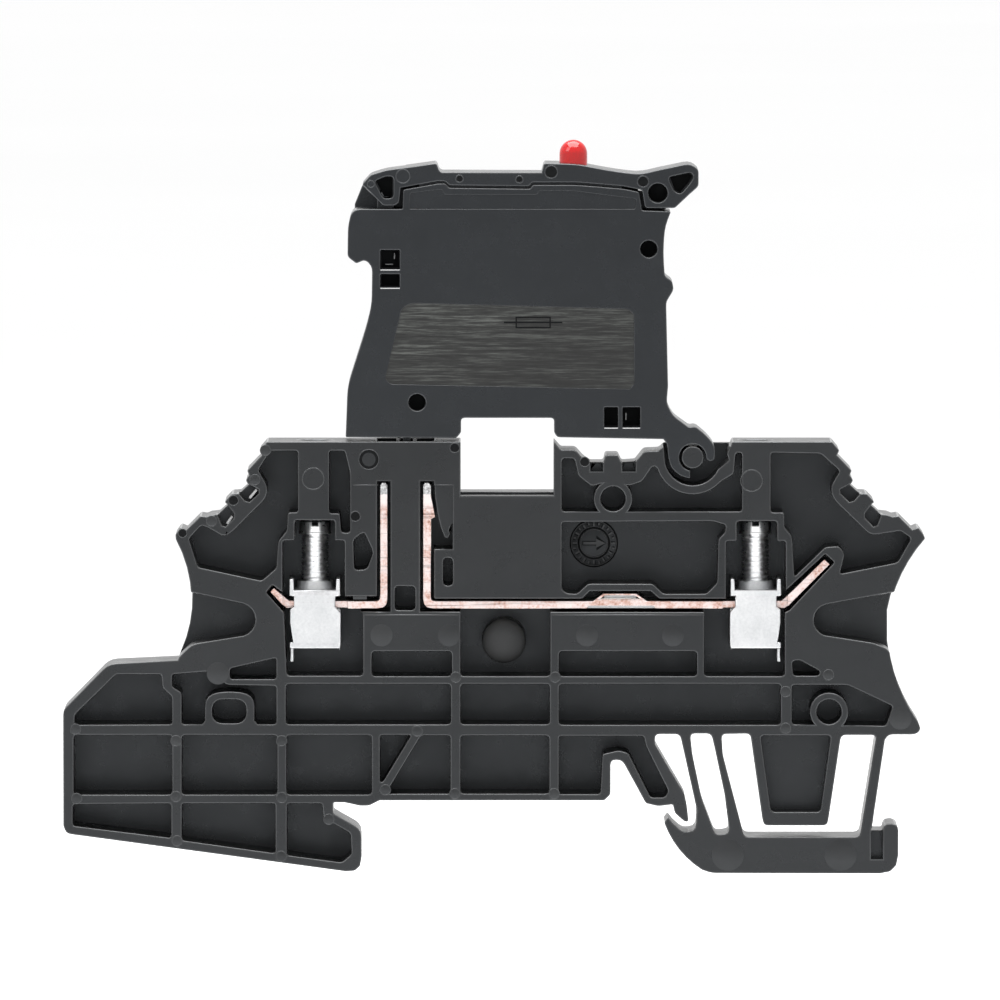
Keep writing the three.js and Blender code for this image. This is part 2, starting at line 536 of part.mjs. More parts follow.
const LATCH_WINDOWS = [
  [-12.7, -10.7, 55.1, 57.1], [-12.7, -10.7, 53.2, 54.6], [10.5, 11.9, 38.7, 40.8],
  [12.4, 14.2, 38.7, 40.8],
];
const PIN_HOLES = [{ x: 15.1, z: 57.2 }, { x: -8.9, z: 41.3 }];
const PIN_HOLE_R = 0.88;
const SHALLOW = 0.12;
const TOP_PANEL = [
  [-9.7, 61.35, 0.2], [13.7, 61.35, 0.2], [13.8, 62.4, 0.2], [7.2, 63.25, 0.4], [3.75, 63.25, 0.2],
  [3.6, 62.85, 0.2], [-6.1, 62.85, 0.2], [-6.3, 63.4, 0.2], [-9.6, 63.0, 0.2],
];
const LABEL_PLATE = [
  [-9.7, 51.6, 0.6], [13.0, 51.0, 0.5], [13.55, 50.4], [13.6, 43.2, 0.4], [13.1, 42.7],
  [-11.7, 43.2, 0.4], [-12.2, 43.8], [-10.5, 51.0, 0.4],
];

function makeLeverFront() {
  const plate = slab([
    ...leverLeftSide(), ...frontTopEdge(), ...leverRightSide(), ...hookOutline(),
    ...leverUnderside(),
  ], LEVER_Y[0], SHELL_SPLIT - SHELL_GAP);
  const sleeve = rodY(PIN_HOLES[1], PIN_HOLE_R + 0.5, LEVER_Y[0] + 0.5, -1.9);
  return cut(plate.add(sleeve), [
    ...LATCH_WINDOWS.map((sides) => slab(rectangle(...sides, 0.1), LEVER_Y[0] - CUT, 0)),
    slab(LABEL_PLATE, LEVER_Y[0] - CUT, LEVER_Y[0] + SHALLOW),
    slab(TOP_PANEL, LEVER_Y[0] - CUT, LEVER_Y[0] + SHALLOW),
    rodY(PIN_HOLES[0], PIN_HOLE_R, LEVER_Y[0] - CUT, 0),
    rodY(PIN_HOLES[1], PIN_HOLE_R, LEVER_Y[0] - CUT, -2.2),
  ]);
}

function makeLeverBack() {
  const innerBack = LEVER_Y[1] - SHELL_WALL;
  const body = slab([
    ...leverLeftSide(), [-9.0, PLATEAU_Z], [-9.0, 63.0], [13.0, 63.0], [13.0, 61.2],
    ...leverRightSide(), [16.9, 41.0], [16.0, 37.6], ...leverUnderside(),
  ], SHELL_SPLIT, LEVER_Y[1]);
  const rearCheek = slab([
    [-15.4, 60], [-15.4, 61.6], [-14.55, 63.7, 0.3], [-12.9, 64.5, 0.6], [-11.3, 64.4, 0.6],
    [-10.5, 63.6, 0.3], [-9.9, 63.3], [-6.7, 64.0], [-5.95, 64.0], [-5.6, 63.55], [2.8, 63.45],
    [3.1, 63.85], [7.7, 63.85], [12.5, 63.45], [13.6, 63.1], [16.6, 62.6, 0.4], [17.1, 60.5],
    [16.6, 60],
  ], innerBack, LEVER_Y[1]);
  const hook = slab([[15.8, 38.4], [15.8, 42.0], [17.0, 42.0], ...hookOutline()],
    SHELL_SPLIT, HOOK_BACK_Y);
  const cavity = slab([
    [-14.9, 39.0], [-14.7, 43.2], [-12.7, 49.7], [-12.3, 51.5], [-12.3, 53.0], [-9.3, 53.0],
    [-9.3, 66], [13.3, 66], [13.3, 53.2], [15.4, 52.6], [15.6, 43], [15.6, 39.0], [6.6, 39.0],
    [6.6, 40.9], [-5.6, 40.9], [-5.6, 39.0],
  ], SHELL_SPLIT - CUT, innerBack);
  const tongue = block(-10.4, -9.6, -2.6, 2.6, 28.7, 39.5);
  const lug = slab([
    [LID_PIVOT.x - LUG_R, PLATEAU_Z - 1], ...arc(LID_PIVOT, LUG_R, 180, 0, 10),
    [LID_PIVOT.x + LUG_R, PLATEAU_Z - 1],
  ], -LUG_HALF, LUG_HALF);
  return cut(join([cut(body, [cavity]), rearCheek, hook, tongue, lug]), [
    rodY(LID_PIVOT, LID_BORE_R, -3, 3, 16),
    block(-11.3, -10.4, -STRIP_HALF - 0.3, STRIP_HALF + 0.3, 36, 39.5),
    block(-9.6, -8.7, -STRIP_HALF - 0.3, STRIP_HALF + 0.3, 36, 39.5),
    ...LATCH_WINDOWS.map((sides) => slab(rectangle(...sides), SHELL_SPLIT - CUT, -1.6)),
    rodY(PIN_HOLES[0], PIN_HOLE_R, SHELL_SPLIT - CUT, -1.6),
  ]);
}

// ---------------------------------------------------------------- lid
function lidOutline() {
  return [
    [-14.6, 63.9, 0.2], [-13.7, 64.9, 0.3], [-12.1, 65.4, 0.5], [-9.75, 65.7, 0.5], [-6.9, 66.1, 0.2],
    [-6.6, 65.3, 0.2], [-6.3, 65.15], [4.0, 65.1], [4.25, 66.1, 0.2], [7.7, 66.0, 1.0],
    [11.3, 65.3, 1.5], [14.2, 64.95, 1.0], [16.0, 65.4, 0.8], [19.4, 66.1, 0.7], [20.25, 65.4, 0.3],
    [20.25, 63.7, 0.3], [19.4, 62.95, 0.1], [17.8, 61.45, 0.2], [14.7, 61.45, 0.3],
    [14.4, 63.3, 0.2], [12.5, 63.7, 0.3], [7.7, 64.1, 0.5], [3.0, 64.1, 0.2], [2.7, 63.7, 0.2],
    [-5.6, 63.8, 0.2], [-5.95, 64.2, 0.2], [-6.7, 64.25, 0.2], [-10.6, 63.55], [-10.75, 62.05],
    [-11.2, 61.7, 0.2], [-12.4, 61.7, 0.2],
  ];
}

function makeLid() {
  const dHole = rounded([
    [-13.3, 64.25], [-12.1, 64.75], [-11.35, 64.7], [-11.35, 62.5], [-12.35, 62.4],
  ], 0.35);
  const tailHole = rounded([
    [17.1, 64.65], [19.4, 65.15], [19.75, 64.8], [19.5, 64.2], [18.4, 62.85], [17.7, 63.2],
  ], 0.4);
  const blindDepth = 2.2;
  const pocket = slab([
    [-9.0, 60], [-9.0, 64.3], [-6.2, 64.3], [3.6, 64.3], [3.9, 65.0], [7.7, 65.0], [12.9, 64.1],
    [12.9, 60],
  ], -3.1, 3.1);
  const rails = [
    slab([[-8.0, 61.3], [-8.0, 64.6], [-6.7, 64.6], [-6.7, 61.8], [-6.1, 61.8], [-6.1, 61.3]], -2.7, 2.7),
    slab([[12.7, 61.3], [12.7, 64.4], [11.7, 64.4], [11.7, 61.8], [11.1, 61.8], [11.1, 61.3]], -2.7, 2.7),
  ];
  const skirtLine = [
    [-9.1, 62.6], [12.9, 62.6], [12.9, 64.2], [7.7, 64.9], [3.9, 64.9], [3.6, 64.5], [-9.1, 64.5],
  ];
  const skirts = [slab(skirtLine, -3.15, -2.75), slab(skirtLine, 2.75, 3.15)];
  const hollow = cut(slab(lidOutline(), ...LEVER_Y), [
    pocket,
    slab(dHole, LEVER_Y[0] - CUT, LEVER_Y[0] + blindDepth),
    slab(tailHole, LEVER_Y[0] - CUT, LEVER_Y[0] + blindDepth),
    rodY({ x: 16.04, z: 63.0 }, 1.0, LEVER_Y[0] - CUT, LEVER_Y[0] + blindDepth),
    block(-16, -10.15, LID_HOOK_BACK_Y, LEVER_Y[1] + CUT, 60, 67),
    block(13.3, 18.2, LID_HOOK_BACK_Y, LEVER_Y[1] + CUT, 60, 63.5),
    rodY(LID_PIVOT, LUG_R + 0.3, -LUG_HALF - 0.3, LUG_HALF + 0.3),
    block(-16, -10.3, -LUG_HALF - 0.3, LUG_HALF + 0.3, 60, LID_PIVOT.z),
    block(-16, LID_PIVOT.x - 0.4, -LUG_HALF - 0.3, LUG_HALF + 0.3, LID_PIVOT.z - 0.5, LID_PIVOT.z + 0.65),
  ]);
  return cut(join([hollow, ...rails, ...skirts]), [
    rodY(LID_PIVOT, LID_BORE_R, LEVER_Y[0] + 1, LEVER_Y[1], 16),
    rodZ(LED.x, 0, LED.flangeR + 0.25, LED.flangeR + 0.25, 60, LED.baseZ + LED.flangeT + 0.3),
    rodZ(LED.x, 0, LED.r + 0.15, LED.r + 0.15, 60, 70),
  ]);
}

// ---------------------------------------------------------------- fuse cartridge, built around its centre
function ringAlongX(outerR, innerR, x0, x1) {
  return cut(rodX(x0, x1, 0, 0, outerR, outerR, FINE_ROUND), [rodX(x0 - CUT, x1 + CUT, 0, 0, innerR)]);
}

function makeGlassTube() {
  const half = FUSE.length / 2 - 0.6;
  return ringAlongX(FUSE.glassR, FUSE.glassR - 0.6, -half, half);
}

function makeCap(sign) {
  const end = FUSE.length / 2;
  const span = (a, b) => (sign > 0 ? [a, b] : [-b, -a]);
  const barrel = rodX(...span(end - FUSE.capLength, end), 0, 0, FUSE.capR, FUSE.capR, FINE_ROUND);
  const bore = rodX(...span(end - FUSE.capLength - CUT, end - 0.4), 0, 0, FUSE.glassR + 0.06);
  return cut(barrel, [bore]);
}

function makeFuseWire() {
  const half = FUSE.length / 2 - 0.5;
  return rodX(-half, half, 0, 0, 0.15, 0.15, 8);
}

// ---------------------------------------------------------------- contacts inside the lever
// A spring clip seen along X: a round cradle whose lips flare open at the top.
function makeClip(x0, x1) {
  const inner = FUSE.capR + CLIP.gap;
  const outer = inner + CLIP.sheet;
  const centre = { x: 0, z: FUSE.z };
  const profile = [
    ...arc(centre, outer, 130, 410, 22),
    ...arc(centre, inner, 410, 130, 22),
  ];
  const geometry = new THREE.ExtrudeGeometry(outline(profile), { depth: x1 - x0, bevelEnabled: false });
  geometry.rotateX(Math.PI / 2);
  geometry.rotateZ(Math.PI / 2);
  geometry.translate(x0, 0, 0);
  return toSolid(geometry);
}

function clipSpan(sign) {
  const outerEnd = FUSE.x + sign * (FUSE.length / 2 - CLIP.inset);
  const innerEnd = outerEnd - sign * CLIP.width;
  return [Math.min(outerEnd, innerEnd), Math.max(outerEnd, innerEnd)];
}

function makeLeftContact() {
  const base = FUSE.z - FUSE.capR - CLIP.gap - CLIP.sheet;
  const span = clipSpan(-1);
  const crossZ = 51.2;
  const strip = slab([
    [span[1], base + 0.1], [span[1], base + 0.1 - STRIP_T], [span[0] + STRIP_T, base + 0.1 - STRIP_T],
    [span[0] + STRIP_T, crossZ, 0.6], [-10.65, crossZ, 0.2], [-10.65, 29.0], [-11.05, 29.4],
    [-11.05, crossZ + STRIP_T, 0.6], [span[0], crossZ + STRIP_T, 0.2], [span[0], base + 0.1],
  ], -STRIP_HALF, STRIP_HALF);
  return join([makeClip(...span), strip]);
}

function makeRightContact() {
  const base = FUSE.z - FUSE.capR - CLIP.gap - CLIP.sheet;
  const span = clipSpan(1);
  const crossZ = 45.0;
  const strip = slab([
    [span[1], base + 0.1], [span[1], crossZ, 0.6], [-8.95, crossZ, 0.2], [-8.95, 29.4], [-9.35, 29.0],
    [-9.35, crossZ + STRIP_T, 0.6], [span[1] - STRIP_T, crossZ + STRIP_T, 0.2],
    [span[1] - STRIP_T, base + 0.1 - STRIP_T], [span[0], base + 0.1 - STRIP_T], [span[0], base + 0.1],
  ], -STRIP_HALF, STRIP_HALF);
  return join([makeClip(...span), strip]);
}

// ---------------------------------------------------------------- blown-fuse indicator
function makeLens() {
  const domeStart = LED.topZ - LED.r;
  const profile = [
    [0, LED.baseZ], [LED.flangeR, LED.baseZ], [LED.flangeR, LED.baseZ + LED.flangeT],
    [LED.r, LED.baseZ + LED.flangeT],
    ...arc({ x: 0, z: domeStart }, LED.r, 0, 90, 7),
  ].map(([r, z]) => new THREE.Vector2(Math.max(r, 0), z));
  profile[profile.length - 1].x = 0;
  const geometry = new THREE.LatheGeometry(profile, ROUND);
  geometry.rotateX(Math.PI / 2);
  return toSolid(geometry);
}

function makeLead(x) {
  const half = 0.25;
  return block(x - half, x + half, -half, half, BOARD.z[1] + 0.02, LED.baseZ - 0.02);
}

function makeBoard() {
  return block(...BOARD.x, -BOARD.halfY, BOARD.halfY, ...BOARD.z);
}

function makeChip(x, length, width, height) {
  const z0 = BOARD.z[1] + 0.03;
  return block(x - length / 2, x + length / 2, -width / 2, width / 2, z0, z0 + height);
}

// A bent leaf under the board that reaches for a fuse cap when the lid is shut.
function makeLeaf(x) {
  const top = BOARD.z[0] - 0.03;
  return slab([
    [x - 1.0, top], [x + 1.0, top], [x + 1.0, top - 0.2], [x + 0.3, top - 0.55], [x, top - 1.05],
    [x - 0.3, top - 1.05], [x - 0.2, top - 0.5], [x - 1.0, top - 0.2],
  ], -1.0, 1.0);
}

// ---------------------------------------------------------------- assembly
const fuse = new THREE.Group();
fuse.position.set(FUSE.x, 0, FUSE.z);
fuse.add(
  piece('fuse_glass_tube', makeGlassTube(), clearGlass),
  piece('fuse_left_cap', makeCap(-1), nickelCap),
  piece('fuse_right_cap', makeCap(1), nickelCap),
  piece('fuse_wire', makeFuseWire(), fuseWire),
);

const ledGroup = new THREE.Group();
ledGroup.position.set(LED.x, 0, 0);
ledGroup.add(
  piece('led_lens', makeLens(), redLens),
  piece('led_anode_lead', makeLead(-1.0), darkSteel),
  piece('led_cathode_lead', makeLead(1.0), darkSteel),
);

const lid = new THREE.Group();
lid.add(
  piece('lid', makeLid(), leverPlastic),
  piece('led_circuit_board', makeBoard(), boardGreen),
  piece('led_resistor', makeChip(-1.5, 3.2, 1.6, 0.55), chipBlack),
  piece('led_diode', makeChip(2.6, 2.6, 1.5, 0.9), chipBlack),
  piece('left_indicator_leaf', makeLeaf(-5.0), springBronze),
  piece('right_indicator_leaf', makeLeaf(10.0), springBronze),
  ledGroup,
);

const lever = new THREE.Group();
lever.add(
  piece('lever_front_shell', makeLeverFront(), leverPlastic),
  piece('lever_back_shell', makeLeverBack(), leverPlastic),
  piece('lid_hinge_pin', rodY(LID_PIVOT, LID_PIN_R, -2.1, 3.0, 16), darkSteel),
  piece('left_fuse_contact', makeLeftContact(), tinnedCopper),
  piece('right_fuse_contact', makeRightContact(), tinnedCopper),
  fuse,
  lid,
);

const block35 = new THREE.Group();
block35.add(
  piece('housing', makeHousing(), polyamide),
  piece('left_busbar', makeLeftBusbar(), tinnedCopper),
  piece('right_busbar', makeRightBusbar(), tinnedCopper),
  lever,
);
for (const side of ['left', 'right']) {
  const yoke = piece(`${side}_clamp_yoke`, makeYoke(side), zincSteel);
  const screw = piece(`${side}_clamp_screw`, makeScrew(), zincSteel);
  yoke.position.set(SCREW_X[side], 0, 0);
  screw.position.set(SCREW_X[side], SCREW_Y, 0);
  block35.add(yoke, screw);
}

export default block35;
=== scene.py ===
"""Looks of a rail-mounted fuse terminal block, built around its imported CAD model. Metres, +Z up."""

import json
import math

import bmesh
import bpy
from mathutils import Matrix, Vector

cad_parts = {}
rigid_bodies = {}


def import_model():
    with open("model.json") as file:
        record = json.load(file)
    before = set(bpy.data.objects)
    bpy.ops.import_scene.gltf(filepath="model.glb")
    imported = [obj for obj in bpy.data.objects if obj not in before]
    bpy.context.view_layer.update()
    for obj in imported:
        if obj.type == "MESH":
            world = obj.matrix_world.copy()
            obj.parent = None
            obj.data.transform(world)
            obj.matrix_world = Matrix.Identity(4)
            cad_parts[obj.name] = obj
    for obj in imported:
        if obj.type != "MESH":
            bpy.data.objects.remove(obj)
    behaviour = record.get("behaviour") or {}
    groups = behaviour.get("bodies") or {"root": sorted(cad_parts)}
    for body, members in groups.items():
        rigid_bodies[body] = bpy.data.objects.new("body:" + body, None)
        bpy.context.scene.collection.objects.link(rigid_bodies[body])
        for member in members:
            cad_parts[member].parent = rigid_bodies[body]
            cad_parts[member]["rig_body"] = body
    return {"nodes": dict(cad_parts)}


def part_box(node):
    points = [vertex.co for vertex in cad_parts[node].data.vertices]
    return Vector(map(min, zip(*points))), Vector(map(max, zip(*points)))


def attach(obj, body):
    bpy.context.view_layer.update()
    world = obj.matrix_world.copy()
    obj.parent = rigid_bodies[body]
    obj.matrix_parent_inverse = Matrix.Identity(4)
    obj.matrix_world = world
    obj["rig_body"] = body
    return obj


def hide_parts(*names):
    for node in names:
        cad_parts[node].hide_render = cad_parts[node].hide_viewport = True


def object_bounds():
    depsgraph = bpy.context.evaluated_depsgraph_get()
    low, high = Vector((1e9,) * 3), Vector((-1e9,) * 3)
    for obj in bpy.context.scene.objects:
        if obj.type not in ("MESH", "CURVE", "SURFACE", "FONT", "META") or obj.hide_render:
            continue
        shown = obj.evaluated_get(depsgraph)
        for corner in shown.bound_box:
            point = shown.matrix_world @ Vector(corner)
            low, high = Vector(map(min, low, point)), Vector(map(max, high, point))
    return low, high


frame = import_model()
CAD_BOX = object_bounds()

MM = 0.001


def cad_box(node):
    """The low and high corners of a CAD node's box, in millimetres."""
    return [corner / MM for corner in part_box(node)]


# Faces that look along Y, in millimetres: the front is the open, ribbed side.
FRONT, BACK = (corner.y for corner in cad_box("housing"))
BACK_WALL = 1.0
POCKET_FLOOR = BACK - BACK_WALL
LEVER_FRONT = cad_box("lever_front_shell")[0].y
LABEL_RECESS = 0.12
LABEL_FLOOR = LEVER_FRONT + LABEL_RECESS

# How the CAD surfaces are cleaned and their edges rounded, in metres.
MERGE_DISTANCE = 0.004 * MM
FLAT_ANGLE = math.radians(0.6)
SHARP_ANGLE = math.radians(26)
SEAM_ANGLE = math.radians(1)
SEAM_SLANT = 0.4
ROOM_SHARE = 0.4
LEAST_SHARE = 0.06
OPEN_ROOM = 1.0
SAME_POINT = 1e-9
SAME_EDGE = 1e-7


# ---------------------------------------------------------------- node helpers
def new_material(name):
    """A node material, its tree and its Principled shader."""
    material = bpy.data.materials.new(name)
    material.use_nodes = True
    tree = material.node_tree
    shader = next(n for n in tree.nodes if n.type == "BSDF_PRINCIPLED")
    return material, tree, shader


def add_node(tree, kind, settings=None, **sockets):
    """A node with its settings and its unlinked or linked inputs. Socket names use _ for spaces."""
    node = tree.nodes.new(kind)
    for key, value in (settings or {}).items():
        setattr(node, key, value)
    for key, value in sockets.items():
        connect(tree, value, node.inputs[key.replace("_", " ")])
    return node


def connect(tree, value, socket):
    if isinstance(value, bpy.types.NodeSocket):
        tree.links.new(value, socket)
    else:
        socket.default_value = value


def place(tree, stretch=(1, 1, 1)):
    """The point in the piece's own frame, stretched for streaks and grain."""
    coordinates = add_node(tree, "ShaderNodeTexCoord")
    mapping = add_node(tree, "ShaderNodeMapping", Vector=coordinates.outputs["Object"], Scale=stretch)
    return mapping.outputs["Vector"]


def noise(tree, where, scale, detail=3.0, roughness=0.55):
    """A cloudy value between 0 and 1."""
    node = add_node(tree, "ShaderNodeTexNoise", Vector=where, Scale=scale, Detail=detail,
                    Roughness=roughness)
    return node.outputs["Fac"]


def spread(tree, value, low, high, to_low, to_high):
    """value between low and high, mapped to to_low and to_high."""
    node = add_node(tree, "ShaderNodeMapRange", Value=value)
    node.inputs["From Min"].default_value = low
    node.inputs["From Max"].default_value = high
    node.inputs["To Min"].default_value = to_low
    node.inputs["To Max"].default_value = to_high
    return node.outputs["Result"]


def ramp(tree, value, stops):
    """Colours along a value: stops are (place, (r, g, b)), linear light."""
    node = add_node(tree, "ShaderNodeValToRGB", Fac=value)
    elements = node.color_ramp.elements
    while len(elements) < len(stops):
        elements.new(0.5)
    for element, (where, colour) in zip(elements, stops):
        element.position = where
        element.color = (*colour, 1)
    return node.outputs["Color"]


def blend_colours(tree, factor, first, second, mode="MIX"):
    """Mixes two colours, each a socket or an (r, g, b)."""
    node = tree.nodes.new("ShaderNodeMix")
    node.data_type = "RGBA"
    node.blend_type = mode
    connect(tree, factor, node.inputs[0])
    connect(tree, first if isinstance(first, bpy.types.NodeSocket) else (*first, 1), node.inputs[6])
    connect(tree, second if isinstance(second, bpy.types.NodeSocket) else (*second, 1), node.inputs[7])
    return node.outputs[2]


def arithmetic(tree, operation, first, second):
    node = tree.nodes.new("ShaderNodeMath")
    node.operation = operation
    connect(tree, first, node.inputs[0])
    connect(tree, second, node.inputs[1])
    return node.outputs[0]


def weighted(tree, first, share, second):
    """share of the first value plus the rest of the second."""
    return arithmetic(tree, "ADD", arithmetic(tree, "MULTIPLY", first, share),
                      arithmetic(tree, "MULTIPLY", second, 1 - share))


def relief(tree, height, strength, depth, below=None):
    """A bump of that depth in metres, on top of another bump."""
    node = add_node(tree, "ShaderNodeBump", Height=height, Strength=strength, Distance=depth)
    if below is not None:
        tree.links.new(below, node.inputs["Normal"])
    return node.outputs["Normal"]


def grey(level):
    return (level, level, level)


# ---------------------------------------------------------------- finishes
# Heights between which a blade's cut edge turns from copper to tin, and from tin to its grey tip. The grey
# tip is painted shading in place of the chamfered facets at the blade tips.
TINNED_FROM = (30.2 * MM, 30.9 * MM)
TIP_FROM = (31.7 * MM, 31.8 * MM)


def moulded_polyamide(name, dark, light, sheen_low, sheen_high, grain=1.0, tint=(1, 1, 1),
                      specular=0.38, top_highlight=0.0):
    """Glass-filled polyamide: cloudy colour, fibre flecks, spark-eroded grain and soft flow marks.
    The last argument paints a highlight: faces whose normal points up are mixed towards a pale grey of that
    level."""
    material, tree, shader = new_material(name)
    where = place(tree)
    cloud = noise(tree, where, 70, 4)
    flow = noise(tree, place(tree, (60, 60, 340)), 1.0, 5, 0.6)
    fleck = noise(tree, where, 5200, 2, 0.7)
    shade = weighted(tree, cloud, 0.6, flow)
    dark_colour = tuple(dark * t for t in tint)
    light_colour = tuple(light * t for t in tint)
    body = ramp(tree, shade, [(0.3, dark_colour), (0.7, light_colour)])
    flecks = ramp(tree, fleck, [(0.62, grey(1.0)), (0.8, grey(1.5))])
    colour = blend_colours(tree, 1.0, body, flecks, "MULTIPLY")
    # Painted highlight: the colour turns paler where the surface faces up.
    if top_highlight:
        normal = add_node(tree, "ShaderNodeNewGeometry").outputs["Normal"]
        height = add_node(tree, "ShaderNodeSeparateXYZ", Vector=normal).outputs["Z"]
        colour = blend_colours(tree, spread(tree, height, 0.25, 0.8, 0.0, 1.0), colour, grey(top_highlight))
    tree.links.new(colour, shader.inputs["Base Color"])
    rough = spread(tree, noise(tree, where, 420, 4), 0.3, 0.7, sheen_low, sheen_high)
    tree.links.new(rough, shader.inputs["Roughness"])
    spark = relief(tree, noise(tree, where, 7000, 3, 0.6), 0.35 * grain, 0.012 * MM)
    wave = relief(tree, noise(tree, where, 260, 2), 0.25 * grain, 0.03 * MM, spark)
    tree.links.new(wave, shader.inputs["Normal"])
    shader.inputs["IOR"].default_value = 1.5
    shader.inputs["Specular IOR Level"].default_value = specular
    shader.inputs["Specular Tint"].default_value = (0.90, 0.95, 1.0, 1.0)
    return material


def brushed_label():
    """The label recess: long horizontal scratches left by the polished mould insert."""
    material, tree, shader = new_material("label_brushed_polyamide")
    streak = noise(tree, place(tree, (420, 420, 7800)), 1.0, 6, 0.72)
    long_streak = noise(tree, place(tree, (110, 110, 3600)), 1.0, 4, 0.62)
    both = weighted(tree, streak, 0.55, long_streak)
    colour = ramp(tree, both, [(0.40, (0.001, 0.001, 0.001)), (0.5, (0.011, 0.012, 0.011)),
                               (0.61, (0.066, 0.070, 0.065))])
    patch = noise(tree, place(tree, (45, 45, 160)), 1.0, 3)
    wear_and_tip_shade = ramp(tree, patch, [(0.35, grey(0.45)), (0.65, grey(1.0))])
    tree.links.new(blend_colours(tree, 1.0, colour, wear_and_tip_shade, "MULTIPLY"), shader.inputs["Base Color"])
    tree.links.new(spread(tree, both, 0.35, 0.65, 0.5, 0.3), shader.inputs["Roughness"])
    tree.links.new(relief(tree, both, 0.8, 0.02 * MM), shader.inputs["Normal"])
    shader.inputs["Specular IOR Level"].default_value = 0.38
    return material


def metal(name, dark, light, rough_low, rough_high, grain_scale, grain_depth):
    """A bare or plated metal: cloudy tone, grain, fine scratches. grain_depth is in millimetres."""
    material, tree, shader = new_material(name)
    where = place(tree)
    cloud = noise(tree, where, 320, 4)
    grain = noise(tree, where, grain_scale, 3, 0.65)
    tone = weighted(tree, cloud, 0.55, grain)
    tree.links.new(ramp(tree, tone, [(0.32, dark), (0.66, light)]), shader.inputs["Base Color"])
    tree.links.new(spread(tree, grain, 0.3, 0.7, rough_low, rough_high), shader.inputs["Roughness"])
    scratch = noise(tree, place(tree, (900, 900, 12000)), 1.0, 3, 0.7)
    base = relief(tree, grain, 0.5, grain_depth * MM)
    tree.links.new(relief(tree, scratch, 0.15, 0.006 * MM, base), shader.inputs["Normal"])
    shader.inputs["Metallic"].default_value = 1.0
    return material


def sheared_copper():
    """The cut edge of a tinned copper strip: pink copper with tin drawn over it, and grey painted shading
    at the blade tips in place of their chamfered facets.
    """
    material, tree, shader = new_material("copper_cut_edge")
    drag = noise(tree, place(tree), 620, 5, 0.7)
    fine = noise(tree, place(tree), 4200, 3, 0.7)
    tone = weighted(tree, drag, 0.6, fine)
    bare = ramp(tree, tone, [(0.34, (0.26, 0.125, 0.085)), (0.43, (0.53, 0.35, 0.30)),
                             (0.52, (0.63, 0.53, 0.51)), (0.7, (0.70, 0.635, 0.62))])
    along = noise(tree, place(tree, (60, 60, 4600)), 1.0, 4, 0.7)
    lines = ramp(tree, along, [(0.36, grey(0.45)), (0.44, grey(1.0))])
    copper = blend_colours(tree, 0.8, bare, lines, "MULTIPLY")
    height = add_node(tree, "ShaderNodeSeparateXYZ", Vector=place(tree)).outputs["Z"]
    tin = (0.70, 0.62, 0.60)
    tinned = blend_colours(tree, spread(tree, height, *TINNED_FROM, 0.0, 1.0), copper, tin)
    # Painted shading: the grey of the chamfered blade tips.
    wear_and_tip_shade = ramp(tree, fine, [(0.4, grey(0.22)), (0.62, grey(0.6))])
    tip = spread(tree, height, *TIP_FROM, 0.0, 1.0)
    tree.links.new(blend_colours(tree, tip, tinned, wear_and_tip_shade), shader.inputs["Base Color"])
    tree.links.new(spread(tree, fine, 0.3, 0.7, 0.28, 0.5), shader.inputs["Roughness"])
    tree.links.new(relief(tree, tone, 0.6, 0.02 * MM), shader.inputs["Normal"])
    shader.inputs["Metallic"].default_value = 1.0
    return material


def red_lens():
    """Diffused red epoxy of the indicator lamp."""
    material, tree, shader = new_material("red_epoxy_lens")
    where = place(tree)
    red = [(0.3, (0.54, 0.002, 0.003)), (0.7, (0.66, 0.004, 0.004))]
    tree.links.new(ramp(tree, noise(tree, where, 600, 3), red), shader.inputs["Base Color"])
    rough = spread(tree, noise(tree, where, 900, 2), 0.3, 0.7, 0.02, 0.06)
    tree.links.new(rough, shader.inputs["Roughness"])
    shader.inputs["Transmission Weight"].default_value = 0.35
    shader.inputs["IOR"].default_value = 1.52
    return material


def clear_glass():
    """The fuse tube: slightly green glass with faint draw lines."""
    material, tree, shader = new_material("fuse_glass")
    where = place(tree)
    tint = [(0.3, (0.93, 0.97, 0.96)), (0.7, (0.98, 1.0, 0.99))]
    tree.links.new(ramp(tree, noise(tree, where, 150, 2), tint), shader.inputs["Base Color"])
    rough = spread(tree, noise(tree, where, 500, 3), 0.3, 0.7, 0.0, 0.03)
    tree.links.new(rough, shader.inputs["Roughness"])
    drawn = noise(tree, place(tree, (60, 400, 400)), 1.0, 2)
    tree.links.new(relief(tree, drawn, 0.2, 0.02 * MM), shader.inputs["Normal"])
    shader.inputs["Transmission Weight"].default_value = 1.0
    shader.inputs["IOR"].default_value = 1.51
    return material


def board_laminate():
    """Green solder mask over a woven glass laminate."""
    material, tree, shader = new_material("board_green_mask")
    threads = []
    for direction in ("X", "Y"):
        bands = {"wave_type": "BANDS", "bands_direction": direction}
        threads.append(add_node(tree, "ShaderNodeTexWave", bands, Vector=place(tree), Scale=320.0,
                                Distortion=1.2, Detail=2.0).outputs["Fac"])
    cloth = arithmetic(tree, "MULTIPLY", *threads)
    green = [(0.1, (0.012, 0.085, 0.032)), (0.9, (0.024, 0.145, 0.055))]
    tree.links.new(ramp(tree, cloth, green), shader.inputs["Base Color"])
    rough = spread(tree, noise(tree, place(tree), 900), 0.3, 0.7, 0.22, 0.38)
    tree.links.new(rough, shader.inputs["Roughness"])
    tree.links.new(relief(tree, cloth, 0.3, 0.01 * MM), shader.inputs["Normal"])
    return material


def pale_floor():
    """A matt floor that the lights bring up to white."""
    material, tree, shader = new_material("floor_pale")
    tone = noise(tree, place(tree), 3, 3)
    tree.links.new(ramp(tree, tone, [(0.2, grey(0.96)), (0.8, grey(0.98))]), shader.inputs["Base Color"])
    shader.inputs["Roughness"].default_value = 0.9
    shader.inputs["Specular IOR Level"].default_value = 0.1
    return material


